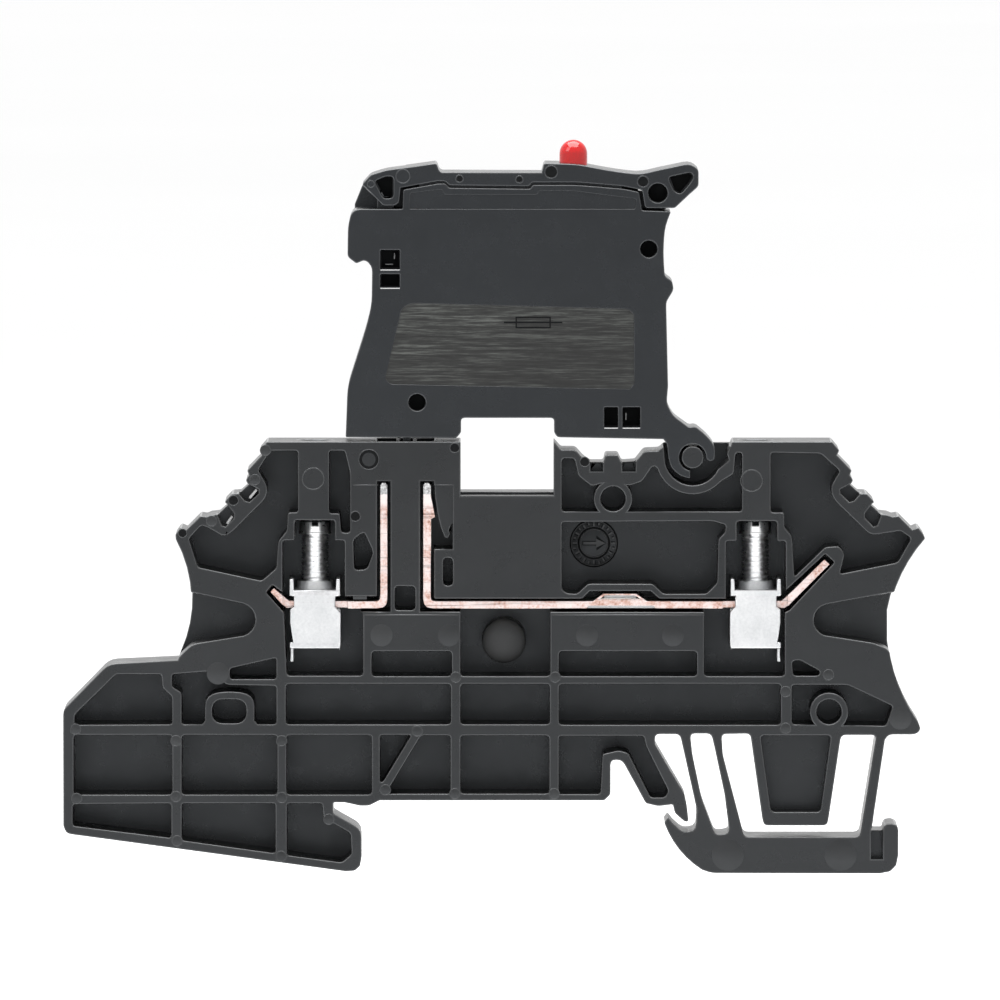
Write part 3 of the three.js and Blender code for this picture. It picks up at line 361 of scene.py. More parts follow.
HOUSING_PLASTIC = moulded_polyamide("housing_polyamide", 0.004, 0.008, 0.25, 0.34)
# A lighter copy of the housing polyamide, a painted highlight: it goes on the rounded edges, the pin and
# ejector rims, thin edge strips and the post over the left bar.
HOUSING_HIGHLIGHT = moulded_polyamide("housing_highlight_polyamide", 0.016, 0.026, 0.20, 0.28, 0.5,
                                 specular=0.5, top_highlight=0.11)
HOUSING_MARK = moulded_polyamide("housing_mark_polyamide", 0.004, 0.018, 0.32, 0.44, 2.2)
# A paler copy of the polyamide for the raised arrow, ticks and rings of the date wheel: painted highlight.
STROKE_HIGHLIGHT = moulded_polyamide("stroke_highlight_polyamide", 0.05, 0.08, 0.45, 0.6, 0.6)
DOME = moulded_polyamide("matt_dome_polyamide", 0.022, 0.034, 0.62, 0.75, 0.6, specular=0.2)
LIT_EDGE = moulded_polyamide("lit_edge_polyamide", 0.30, 0.48, 0.25, 0.4, 0.6)
GROOVE = moulded_polyamide("shaded_groove_polyamide", 0.001, 0.003, 0.55, 0.7, specular=0.12)
LEVER_PLASTIC = moulded_polyamide("lever_polyamide", 0.004, 0.007, 0.22, 0.30, 0.7, (0.9, 1.0, 1.15))
# A lighter copy of the lever polyamide, a painted highlight on the rounded edges and ejector rings of the
# lever and lid.
LEVER_HIGHLIGHT = moulded_polyamide("lever_highlight_polyamide", 0.014, 0.022, 0.20, 0.28, 0.4,
                               (0.97, 1.0, 1.04), specular=0.5, top_highlight=0.09)
LABEL = brushed_label()
ZINC = metal("zinc_plated_steel", (0.42, 0.43, 0.44), (0.59, 0.595, 0.60), 0.32, 0.48, 3600, 0.014)
SCREW_ZINC = metal("zinc_plated_screw", (0.78, 0.79, 0.80), (0.96, 0.96, 0.96), 0.26, 0.36, 3000, 0.006)
# A slightly darker, more mottled zinc: painted shade for the yokes' bend lines and the set-back bridge
# strips; the yokes' lap lines use it too.
SHADED_ZINC = metal("zinc_steel_shaded", (0.34, 0.34, 0.35), (0.62, 0.62, 0.63), 0.3, 0.5, 3600, 0.01)
TIN = metal("tinned_strip", (0.62, 0.60, 0.56), (0.84, 0.82, 0.78), 0.22, 0.38, 2600, 0.008)
COPPER_EDGE = sheared_copper()
BRONZE = metal("spring_bronze", (0.50, 0.31, 0.13), (0.72, 0.48, 0.24), 0.24, 0.38, 2600, 0.008)
NICKEL = metal("nickel_fuse_cap", (0.52, 0.50, 0.46), (0.72, 0.70, 0.65), 0.14, 0.28, 1800, 0.006)
SOLDER = metal("solder", (0.55, 0.56, 0.57), (0.78, 0.79, 0.80), 0.18, 0.34, 1500, 0.02)
FUSE_WIRE = metal("fuse_wire_metal", (0.5, 0.5, 0.5), (0.7, 0.7, 0.7), 0.25, 0.4, 5000, 0.004)
DARK_STEEL = metal("dark_steel", (0.16, 0.165, 0.17), (0.30, 0.31, 0.32), 0.3, 0.45, 3000, 0.008)
CHIP = moulded_polyamide("chip_epoxy", 0.010, 0.016, 0.38, 0.5, 0.8)
CERAMIC = moulded_polyamide("resistor_ceramic", 0.62, 0.74, 0.4, 0.5, 0.6)
RED_LENS = red_lens()
GLASS = clear_glass()
BOARD = board_laminate()
FLOOR = pale_floor()


# ---------------------------------------------------------------- mesh helpers, millimetres in, metres out
def point(x, y, z):
    return Vector((x, y, z)) * MM


def body_of(node):
    return frame["nodes"][node]["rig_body"]


def add_piece(name, mesh, materials, body, smooth=True, replaces=()):
    """Turns a bmesh into a piece that rides on a body."""
    data = bpy.data.meshes.new(name)
    bmesh.ops.recalc_face_normals(mesh, faces=mesh.faces)
    mesh.to_mesh(data)
    mesh.free()
    for material in materials:
        data.materials.append(material)
    if smooth:
        data.shade_smooth()
    else:
        data.shade_flat()
    obj = bpy.data.objects.new(name, data)
    bpy.context.scene.collection.objects.link(obj)
    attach(obj, body)
    if replaces:
        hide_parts(*replaces)
    return obj


def even_normals(obj):
    """Keeps large flat faces flat in the shading."""
    modifier = obj.modifiers.new("even_normals", "WEIGHTED_NORMAL")
    modifier.mode = "FACE_AREA"
    modifier.weight = 60
    modifier.keep_sharp = True


def cleaned(node):
    """A CAD node's surface with doubled points merged and flat areas joined into single faces."""
    source = frame["nodes"][node].data
    mesh = bmesh.new()
    corners = [mesh.verts.new(v.co) for v in source.vertices]
    for polygon in source.polygons:
        mesh.faces.new([corners[i] for i in polygon.vertices])
    bmesh.ops.remove_doubles(mesh, verts=mesh.verts, dist=MERGE_DISTANCE)
    bmesh.ops.dissolve_limit(mesh, angle_limit=FLAT_ANGLE, verts=mesh.verts, edges=mesh.edges)
    bmesh.ops.recalc_face_normals(mesh, faces=mesh.faces)
    mesh.normal_update()
    return mesh


def is_sharp(edge):
    """Whether two faces meet at the edge by more than the sharp angle."""
    return len(edge.link_faces) == 2 and edge.calc_face_angle(0) > SHARP_ANGLE


def room_across(edge, face, sharp):
    """Distance from an edge across one of its faces to the face's next sharp edge."""
    a, b = (v.co for v in edge.verts)
    middle = (a + b) / 2
    along = (b - a).normalized()
    inward = face.normal.cross(along)
    loop = next(side for side in edge.link_loops if side.face is face)
    if loop.vert is not edge.verts[0]:
        inward = -inward
    nearest = OPEN_ROOM
    for other in face.edges:
        if other is edge or other not in sharp:
            continue
        p, q = (v.co - middle for v in other.verts)
        pu, qu = p.dot(along), q.dot(along)
        if pu * qu > 0 or abs(pu - qu) < SAME_POINT:
            continue
        pv, qv = p.dot(inward), q.dot(inward)
        across = pv + (qv - pv) * pu / (pu - qu)
        if across > SAME_EDGE:
            nearest = min(nearest, across)
    return nearest


def weigh_edges(mesh, width):
    """Gives each outer sharp edge the share of the bevel width that its faces have room for."""
    layer = mesh.edges.layers.float.new("bevel_weight_edge")
    sharp = {e for e in mesh.edges if is_sharp(e)}
    for edge in sharp:
        room = min(room_across(edge, face, sharp) for face in edge.link_faces)
        share = max(0.0, min(1.0, ROOM_SHARE * room / width))
        edge.smooth = edge.is_convex and share > LEAST_SHARE
        edge[layer] = share if edge.smooth else 0.0


def away_from(vert, edge):
    """The direction in which an edge leaves a vertex."""
    return (edge.other_vert(vert).co - vert.co).normalized()


def seam_slant(seam, layer):
    """Cosine of the smallest angle between a seam and a rounded edge at its ends."""
    slant = 0.0
    for vert in seam.verts:
        for edge in vert.link_edges:
            if edge is not seam and edge[layer] > 0:
                slant = max(slant, away_from(vert, seam).dot(away_from(vert, edge)))
    return slant


def join_slivers(mesh):
    """Joins flat faces across seams that leave a rounded edge at a slant, where its bevel would fold."""
    layer = mesh.edges.layers.float["bevel_weight_edge"]
    seams = [e for e in mesh.edges if len(e.link_faces) == 2 and e.calc_face_angle() < SEAM_ANGLE]
    slanted = sorted(((seam_slant(e, layer), e) for e in seams), key=lambda pair: -pair[0])
    for slant, seam in slanted:
        if slant < SEAM_SLANT:
            break
        first, second = seam.link_faces
        if first is not second and len(set(first.verts) & set(second.verts)) == 2:
            bmesh.utils.face_join([first, second], False)


def round_edges(obj, width, segments, edge_slot=-1):
    """Rounds the weighted edges, and gives the new faces the material in edge_slot."""
    modifier = obj.modifiers.new("rounded_edges", "BEVEL")
    modifier.width = width
    modifier.segments = segments
    modifier.limit_method = "WEIGHT"
    modifier.use_clamp_overlap = False
    modifier.loop_slide = False
    modifier.material = edge_slot
    modifier.miter_outer = "MITER_SHARP"
    modifier.harden_normals = True


def dressed(node, name, materials, width_mm, segments=2, edge_slot=-1, paint=None):
    """A CAD node's shape with rounded edges and a proper finish, in place of the node."""
    mesh = cleaned(node)
    if paint:
        for face in mesh.faces:
            face.material_index = paint(face)
    weigh_edges(mesh, width_mm * MM)
    bmesh.ops.triangulate(mesh, faces=[f for f in mesh.faces if len(f.verts) > 4])
    join_slivers(mesh)
    obj = add_piece(name, mesh, materials, body_of(node), replaces=[node])
    round_edges(obj, width_mm * MM, segments, edge_slot)
    return obj


def revolve(mesh, profile, centre, axis, steps=32):
    """Adds a turned solid: profile holds (radius, height) in millimetres along the axis from centre."""
    turn = Vector((0, 0, 1)).rotation_difference(Vector(axis)).to_matrix().to_4x4()
    origin = Matrix.Translation(point(*centre)) @ turn
    rings = []
    for radius, height in profile:
        if radius < 1e-6:
            rings.append([mesh.verts.new(origin @ point(0, 0, height))])
            continue
        angles = [2 * math.pi * i / steps for i in range(steps)]
        rings.append([mesh.verts.new(origin @ point(radius * math.cos(a), radius * math.sin(a), height))
                      for a in angles])
    for low, high in zip(rings, rings[1:]):
        for i in range(steps):
            j = (i + 1) % steps
            corners = [low[i % len(low)], low[j % len(low)], high[j % len(high)], high[i % len(high)]]
            corners = list(dict.fromkeys(corners))
            if len(corners) > 2:
                mesh.faces.new(corners)


def revolve_loop(mesh, profile, centre, axis, steps=32):
    """Adds a turned ring whose profile is a closed loop clear of the axis."""
    revolve(mesh, [*profile, profile[0]], centre, axis, steps)


def soft_disc(mesh, x, z, radius, y, rise, toward=-1):
    """A low round pad on a face that looks along Y, with a rounded rim."""
    rim = min(rise, radius * 0.3)
    profile = [(0, 0), (radius, 0), (radius, rise - rim * 0.6), (radius - rim * 0.3, rise - rim * 0.2),
               (radius - rim * 0.8, rise), (0, rise)]
    revolve(mesh, profile, (x, y, z), (0, toward, 0), 28)


def soft_ring(mesh, x, z, radius, y, thick, rise, toward=-1):
    """A low round ridge on a face that looks along Y."""
    half = thick / 2
    profile = [(radius - half, 0), (radius + half, 0), (radius + half * 0.9, rise * 0.6),
               (radius + half * 0.4, rise), (radius - half * 0.4, rise), (radius - half * 0.9, rise * 0.6)]
    revolve_loop(mesh, profile, (x, y, z), (0, toward, 0), 32)


def prism(mesh, outline, y0, y1):
    """Adds an outline in X and Z, extruded along Y."""
    near = [mesh.verts.new(point(x, y0, z)) for x, z in outline]
    far = [mesh.verts.new(point(x, y1, z)) for x, z in outline]
    mesh.faces.new(near)
    mesh.faces.new(far[::-1])
    for i, corner in enumerate(near):
        j = (i + 1) % len(near)
        mesh.faces.new([corner, near[j], far[j], far[i]])


def brick(mesh, x0, x1, y0, y1, z0, z1):
    """Adds a box between the given millimetres."""
    prism(mesh, [(x0, z0), (x1, z0), (x1, z1), (x0, z1)], y0, y1)


def bevelled(mesh, width_mm, segments=2):
    """Rounds every sharp edge of a simple mesh in place."""
    mesh.normal_update()
    edges = [e for e in mesh.edges if is_sharp(e)]
    bmesh.ops.bevel(mesh, geom=edges, offset=width_mm * MM, segments=segments, profile=0.5,
                    affect="EDGES", clamp_overlap=True)


# ---------------------------------------------------------------- housing
# Centres are (x, z) in millimetres, and a third number is a radius.
SMALL_EJECTORS = [
    (-33.9, 6.2), (-22.95, 6.2), (-33.9, 0.4), (-22.95, 0.3), (-44.3, 7.4), (-44.2, 0.2), (-33.8, -4.2),
    (-23.0, -5.8), (-4.9, 12.8), (5.4, 12.8), (-8.9, 7.2), (-12.2, 1.1), (-5.0, 0.7), (5.3, 0.7),
    (-18.05, -1.95), (33.75, 13.05), (29.3, 11.3), (29.3, 7.5), (-30.2, 29.0), (-25.7, 33.3),
    (-24.6, 36.35),
]
WIDE_EJECTORS = [(-12.6, 17.15), (-5.6, 17.15), (8.7, 17.15), (17.6, 17.15), (41.2, 8.5), (-29.55, 13.2)]
SHAFT_EJECTORS = [(-19.66, 33.4), (25.75, 33.2)]
FOOT_EJECTORS = [(23.3, -5.65), (35.0, -5.65)]
BACK_EJECTORS = [(-38, 3), (-22, 9), (-27, 24), (-8, 14), (12, 9), (14, 27), (33, 10), (36, 26),
                 (-18, 33)]
DATE_WHEEL = (9.45, 26.3)
DATUM = (0.1, 16.4, 2.28)
SUNK_PINS = [(-5.0, 36.6, 0.5), (-15.3, 29.5, 0.52), (8.45, 35.15, 0.5), (-27.93, 31.15, 0.52),
             (-33.2, 27.75, 0.45)]
RINGED_PIN = (-13.9, 35.4)


def make_housing():
    # Slot 1, the lighter copy, goes on the rounded edges as a painted edge highlight.
    dressed("housing", "housing_moulding", [HOUSING_PLASTIC, HOUSING_HIGHLIGHT], 0.13, 2, 1)


def make_ejector_marks():
    """Pin marks left by the mould on the rib faces, the foot and the plain back."""
    discs, rims = bmesh.new(), bmesh.new()
    for x, z in SMALL_EJECTORS:
        soft_disc(discs, x, z, 0.52, FRONT, 0.03)
        soft_ring(rims, x, z, 0.54, FRONT, 0.10, 0.045)
    for x, z in WIDE_EJECTORS:
        soft_disc(discs, x, z, 1.15, FRONT, 0.02)
    for x, z in SHAFT_EJECTORS:
        soft_ring(rims, x, z, 1.12, FRONT, 0.12, 0.03)
    for x, z in FOOT_EJECTORS:
        soft_disc(discs, x, z, 1.66, FRONT, 0.02)
    for x, z in BACK_EJECTORS:
        soft_disc(discs, x, z, 1.2, BACK, 0.03, toward=1)
        soft_ring(rims, x, z, 1.22, BACK, 0.10, 0.045, toward=1)
    add_piece("housing_ejector_marks", discs, [HOUSING_MARK], "block")
    # The rims are in the lighter copy: painted highlight.
    add_piece("housing_ejector_rims", rims, [HOUSING_HIGHLIGHT], "block")


def make_moulded_details():
    """The domed datum pad, the ringed pin, the sunk pins and the post over the left bar."""
    x, z, radius = DATUM
    base, depth, height = FRONT + 2.9, 2.4, radius * 0.6
    dome = bmesh.new()
    curve = [(radius * math.cos(a), height * math.sin(a)) for a in (math.pi / 20 * i for i in range(10))]
    profile = [(0, -depth), (radius, -depth), *curve, (0, height)]
    revolve(dome, profile, (x, base, z), (0, -1, 0), 48)
    add_piece("housing_datum_dome", dome, [DOME], "block")
    grooves, rims = bmesh.new(), bmesh.new()
    for x, z, radius in SUNK_PINS:
        soft_disc(grooves, x, z, radius, FRONT, 0.02)
        soft_ring(rims, x, z, radius, FRONT, 0.10, 0.04)
    x, z = RINGED_PIN
    soft_ring(grooves, x, z, 0.84, FRONT, 0.28, 0.03)
    soft_ring(rims, x, z, 1.04, FRONT, 0.10, 0.05)
    add_piece("housing_pin_grooves", grooves, [GROOVE], "block")
    # These thin strips, in the lighter copy, are painted highlight lines along the edges below the pockets
    # and bars.
    brick(rims, -15.5, -12.95, FRONT - 0.03, FRONT + 0.05, 32.7, 32.8)
    brick(rims, -7.0, -5.2, FRONT - 0.03, FRONT + 0.05, 32.72, 32.8)
    for x0, x1 in ((-14.3, -4.6), (5.1, 20.7)):
        brick(rims, x0, x1, FRONT - 0.015, FRONT + 0.05, 19.2, 19.34)
    add_piece("housing_pin_rims", rims, [HOUSING_HIGHLIGHT], "block")
    add_piece("housing_slot_glints", slot_glints(), [LIT_EDGE], "block", smooth=False)
    # The post is in the lighter copy: painted highlight.
    post = bmesh.new()
    brick(post, -15.45, -14.2, FRONT + 0.25, FRONT + 1.5, 20.95, 23.1)
    brick(post, -15.3, -14.35, FRONT + 0.1, FRONT + 0.3, 21.6, 22.4)
    bevelled(post, 0.08)
    even_normals(add_piece("housing_bar_post", post, [HOUSING_HIGHLIGHT], "block"))


def slot_glints():
    """The lit inner walls of the two marker slots in the left flank."""
    mesh = bmesh.new()
    for x0, z0, x1, z1 in [(-26.25, 31.35, -25.5, 32.25), (-28.6, 28.7, -28.05, 29.45)]:
        side = Vector((x1 - x0, z1 - z0)).normalized() * 0.1
        prism(mesh, [(x0 + side.y, z0 - side.x), (x1 + side.y, z1 - side.x), (x1 - side.y, z1 + side.x),
                     (x0 - side.y, z0 + side.x)], FRONT + 0.6, FRONT + 3.4)
    return mesh


def make_date_wheel():
    """Generic mould insert: a ring of ticks round a disc with an arrow."""
    x, z = DATE_WHEEL
    disc_rise, tick_end, ticks = 0.08, 2.2, 24
    top = POCKET_FLOOR - disc_rise
    discs, lines = bmesh.new(), bmesh.new()
    soft_disc(discs, x, z, 2.42, POCKET_FLOOR, disc_rise)
    add_piece("housing_date_disc", discs, [HOUSING_MARK], "block")
    for radius, thick in ((2.46, 0.14), (1.6, 0.2)):
        soft_ring(lines, x, z, radius, POCKET_FLOOR, thick, 0.12)
    centre = Matrix.Translation(point(x, top + 0.02, z))
    arrow = [(-1.1, -0.14), (0.25, -0.14), (0.25, -0.46), (1.2, 0.0), (0.25, 0.46), (0.25, 0.14),
             (-1.1, 0.14)]
    shadow = bmesh.new()
    prism(shadow, [(u * 1.08, v * 1.7) for u, v in arrow], -0.04, 0.0)
    merge_into(lines, shadow, centre)
    raised = bmesh.new()
    prism(raised, arrow, -0.16, 0.0)
    bmesh.ops.transform(raised, matrix=centre, verts=raised.verts)
    for i in range(ticks):
        turn = centre @ Matrix.Rotation(2 * math.pi * i / ticks, 4, "Y")
        tick, groove = bmesh.new(), bmesh.new()
        length = 0.44 if i % 2 == 0 else 0.24
        brick(tick, tick_end - length, tick_end, -0.12, 0.0, -0.08, 0.08)
        merge_into(raised, tick, turn)
        brick(groove, tick_end - length, tick_end, -0.04, 0.0, 0.08, 0.2)
        merge_into(lines, groove, turn)
    for radius, thick in ((2.34, 0.1), (1.44, 0.1), (1.74, 0.06)):
        soft_ring(raised, x, z, radius, top + 0.02, thick, 0.1)
    add_piece("housing_date_grooves", lines, [GROOVE], "block", smooth=False)
    # The raised arrow, ticks and rings are paler: painted highlight.
    add_piece("housing_date_arrow", raised, [STROKE_HIGHLIGHT], "block", smooth=False)


def merge_into(mesh, other, matrix):
    """Adds another bmesh, moved by a matrix, and frees it."""
    bmesh.ops.transform(other, matrix=matrix, verts=other.verts)
    data = bpy.data.meshes.new("merge")
    other.to_mesh(data)
    other.free()
    mesh.from_mesh(data)
    bpy.data.meshes.remove(data)


# ---------------------------------------------------------------- busbars
def strip_side(face):
    """1 on the sheared edges of a strip that is cut in the XZ plane, 0 on its rolled faces."""
    return 1 if abs(face.normal.y) > 0.9 else 0


def make_busbars():
    """The two busbars and the strips that carry the fuse clips."""
    for side in ("left", "right"):
        for strip, width in (("busbar", 0.08), ("fuse_contact", 0.04)):
            dressed(f"{side}_{strip}", f"{side}_{strip}_strip", [TIN, COPPER_EDGE], width,
                    paint=strip_side)


def make_bridge_backing():
    """The lower half of the pressed bridge, set back under the right bar, and behind its eye."""
    mesh = bmesh.new()
    brick(mesh, 8.8, 15.7, -3.3, 2.5, 19.92, 20.25)
    brick(mesh, 10.5, 13.8, -3.2, 2.5, 20.9, 21.25)
    # The darker zinc here is painted shade on the set-back strips.
    add_piece("right_bridge_backing", mesh, [SHADED_ZINC], "block", smooth=False)


# ---------------------------------------------------------------- clamps
THREAD_PITCH = 0.5
THREAD_DEPTH = 0.24
THREAD_COLUMNS = 36
THREAD_ROWS_PER_TURN = 8
THREAD_FADES = 14
HEAD_HEIGHT = 1.5
HEAD_OVERHANG = 0.28


def thread_depth_at(turns, share):
    """Depth below the crest: a rounded V that fades out over 1 / THREAD_FADES of the rod at both ends."""
    phase = turns % 1.0
    wave = 0.5 + 0.5 * math.cos(2 * math.pi * phase)
    fade = min(1.0, share * THREAD_FADES, (1 - share) * THREAD_FADES)
    return THREAD_DEPTH * (1 - (wave ** 0.8) * fade)


def add_thread(mesh, x, y, z0, z1, crest):
    """Adds an upright threaded rod whose crest has that radius."""
    rows = int((z1 - z0) / THREAD_PITCH * THREAD_ROWS_PER_TURN) + 1
    rings = []
    for row in range(rows):
        share = row / (rows - 1)
        z = z0 + (z1 - z0) * share
        ring = []
        for column in range(THREAD_COLUMNS):
            turn = column / THREAD_COLUMNS
            radius = crest - thread_depth_at((z - z0) / THREAD_PITCH - turn, share)
            angle = 2 * math.pi * turn
            corner = point(x + radius * math.cos(angle), y + radius * math.sin(angle), z)
            ring.append(mesh.verts.new(corner))
        rings.append(ring)
    for low, high in zip(rings, rings[1:]):
        for i in range(THREAD_COLUMNS):
            j = (i + 1) % THREAD_COLUMNS
            mesh.faces.new([low[i], low[j], high[j], high[i]])
    mesh.faces.new(rings[0][::-1])
    mesh.faces.new(rings[-1])


def slotted_head(x, y, z0, z1, radius):
    """A cheese head with a washer lip and a crowned top; make_screws cuts its driver slot along Y."""
    mesh = bmesh.new()
    top = z1 - z0
    profile = [(0, 0), (radius - 0.06, 0), (radius, 0.05), (radius, 0.16), (radius - 0.08, 0.22),
               (radius - 0.1, top - 0.35), (radius - 0.16, top - 0.2), (radius - 0.35, top - 0.08),
               (radius - 0.8, top - 0.01), (0, top)]
    revolve(mesh, profile, (x, y, z0), (0, 0, 1), 48)
    bmesh.ops.recalc_face_normals(mesh, faces=mesh.faces)
    return mesh


def cut_with(obj, cutter_mesh, name):
    """Cuts a piece by a bmesh solid, and applies the cut."""
    bmesh.ops.recalc_face_normals(cutter_mesh, faces=cutter_mesh.faces)
    data = bpy.data.meshes.new(name)
    cutter_mesh.to_mesh(data)
    cutter_mesh.free()
    cutter = bpy.data.objects.new(name, data)
    bpy.context.scene.collection.objects.link(cutter)
    modifier = obj.modifiers.new("cut", "BOOLEAN")
    modifier.operation = "DIFFERENCE"
    modifier.object = cutter
    modifier.solver = "EXACT"
    bpy.context.view_layer.update()
    evaluated = obj.evaluated_get(bpy.context.evaluated_depsgraph_get())
    old = obj.data
    obj.data = bpy.data.meshes.new_from_object(evaluated)
    obj.modifiers.remove(modifier)
    bpy.data.objects.remove(cutter)
    bpy.data.meshes.remove(old)


def make_screws():
    """Each clamp screw: helical thread, chamfered tip, slotted cheese head."""
    for side in ("left", "right"):
        node = f"{side}_clamp_screw"
        low, high = cad_box(node)
        x, y = (low.x + high.x) / 2, (low.y + high.y) / 2
        head_z = high.z - HEAD_HEIGHT
        crest = (high.x - low.x) / 2 - HEAD_OVERHANG
        body = body_of(node)
        shank = bmesh.new()
        add_thread(shank, x, y, low.z + 0.35, head_z + 0.02, crest)
        revolve(shank, [(0, 0), (crest - 0.5, 0), (crest - 0.3, 0.12), (crest - 0.22, 0.36), (0, 0.36)],
                (x, y, low.z), (0, 0, 1), THREAD_COLUMNS)
        add_piece(f"{side}_screw_thread", shank, [SCREW_ZINC], body, replaces=[node])
        head = add_piece(f"{side}_screw_head", slotted_head(x, y, head_z, high.z, high.x - x), [SCREW_ZINC],
                         body)
        slot = bmesh.new()
        brick(slot, x - 0.36, x + 0.36, y - 3, y + 3, high.z - 0.68, high.z + 1)
        cut_with(head, slot, "slot")
        mark_sharp(head, 35)
        even_normals(head)


def mark_sharp(obj, degrees):
    """Marks a piece's creases, so that its smooth shading stops there."""
    mesh = bmesh.new()
    mesh.from_mesh(obj.data)
    for face in mesh.faces:
        face.smooth = True
    for edge in mesh.edges:
        edge.smooth = edge.calc_face_angle(0) < math.radians(degrees)
    mesh.to_mesh(obj.data)
    mesh.free()


def make_yokes():
    """Folded frames, with the bend lines and the lap of the sheet on their faces."""
    for side, sign in (("left", 1), ("right", -1)):
        node = f"{side}_clamp_yoke"
        dressed(node, f"{side}_yoke_frame", [ZINC], 0.16, 3)
        low, high = cad_box(node)
        x, face = (low.x + high.x) / 2, low.y
        lines = bmesh.new()
        brick(lines, x - 2.5 * sign, x + 2.4 * sign, face - 0.015, face + 0.02, 16.2, 16.27)
        if side == "left":
            brick(lines, x - 2.55, x + 2.55, face - 0.12, face + 0.05, 21.3, 21.72)
            brick(lines, x - 1.8, x + 1.9, face - 0.015, face + 0.02, 20.52, 20.6)
        else:
            brick(lines, x - 2.35, x - 2.28, face - 0.015, face + 0.02, 16.4, 19.6)
            for x0, x1, z0, z1 in [(-0.95, 0.95, 21.1, 21.18), (-0.95, -0.87, 20.75, 21.1),
                                   (0.87, 0.95, 20.75, 21.1), (-2.1, -1.0, 20.9, 20.97),
                                   (1.0, 2.1, 20.9, 20.97)]:
                brick(lines, x + x0, x + x1, face - 0.015, face + 0.02, z0, z1)
        for corner in lines.verts:
            corner.co.x = min(max(corner.co.x, low.x * MM), high.x * MM)
        # The strips are in the darker zinc: painted shade along the bends.
        add_piece(f"{side}_yoke_folds", lines, [SHADED_ZINC], body_of(node), smooth=False)


# ---------------------------------------------------------------- lever and lid
def label_face(face):
    """2 on the floor of the label recess, 0 elsewhere."""
    centre = face.calc_center_median() / MM
    on_floor = abs(centre.y - LABEL_FLOOR) < 0.02 and face.normal.y < -0.9
    return 2 if on_floor and centre.z < 53 else 0


def make_lever():
    """The two shells of the lever and the lid's hinge pin."""
    # Slot 1, the lighter copy, goes on the rounded edges as a painted edge highlight.
    dressed("lever_front_shell", "lever_front_moulding", [LEVER_PLASTIC, LEVER_HIGHLIGHT, LABEL],
            0.12, 2, 1, label_face)
    dressed("lever_back_shell", "lever_back_moulding", [LEVER_PLASTIC, LEVER_HIGHLIGHT],
            0.12, 2, 1)
    dressed("lid_hinge_pin", "lid_hinge_dowel", [DARK_STEEL], 0.06, 2)


# Pin pits are (x, z, floor), latch windows and barbs are (x0, x1, z0, z1).
PIN_PITS = [(15.1, 57.2, -1.6), (-8.9, 41.3, -2.2)]
LATCH_BARBS = [(-11.3, -11.2, 56.1, 56.7), (-12.2, -11.4, 55.5, 55.6), (12.7, 12.8, 39.4, 40.1)]
LATCH_PITS = [(-12.7, -10.7, 55.1, 57.1), (-12.7, -10.7, 53.2, 54.6), (10.5, 11.9, 38.7, 40.8),
              (12.4, 14.2, 38.7, 40.8)]


def make_lever_pits():
    """Shaded floors of the pin pits and latch windows, with pale strips under the windows and pale latch
    barbs in them as painted highlights.
    """
    floors, lips, barbs = bmesh.new(), bmesh.new(), bmesh.new()
    for x, z, floor in PIN_PITS:
        soft_disc(floors, x, z, 0.86, floor, 0.06)
    for x0, x1, z0, z1 in LATCH_PITS:
        brick(floors, x0 + 0.06, x1 - 0.06, -1.66, -1.55, z0 + 0.06, z1 - 0.06)
        brick(lips, x0, x1, LEVER_FRONT - 0.015, LEVER_FRONT + 0.05, z0 - 0.11, z0 - 0.01)
    for x0, x1, z0, z1 in LATCH_BARBS:
        brick(barbs, x0, x1, -2.4, -1.7, z0, z1)
    add_piece("lever_pit_floors", floors, [GROOVE], "lever", smooth=False)
    add_piece("lever_latch_lip_highlights", lips, [LIT_EDGE], "lever", smooth=False)
    add_piece("lever_latch_barb_glints", barbs, [LIT_EDGE], "lever", smooth=False)


def make_fuse_symbol():
    """The circuit symbol of a fuse, a box on a line, raised on the label."""
    mesh = bmesh.new()
    left, right, low, high = 1.3, 4.95, 49.0, 50.2
    line, tail = 0.14, 1.2
    middle = (low + high) / 2
    wire = (middle - line / 2, middle + line / 2)
    y0, y1 = LABEL_FLOOR - 0.07, LABEL_FLOOR + 0.02
    bars = [(left, right, low, low + line), (left, right, high - line, high),
            (left, left + line, low + line, high - line), (right - line, right, low + line, high - line),
            (left - tail, left, *wire), (left + line, right - line, *wire), (right, right + tail, *wire)]
    for x0, x1, z0, z1 in bars:
        brick(mesh, x0, x1, y0, y1, z0, z1)
    add_piece("label_fuse_symbol", mesh, [GROOVE], "lever", smooth=False)


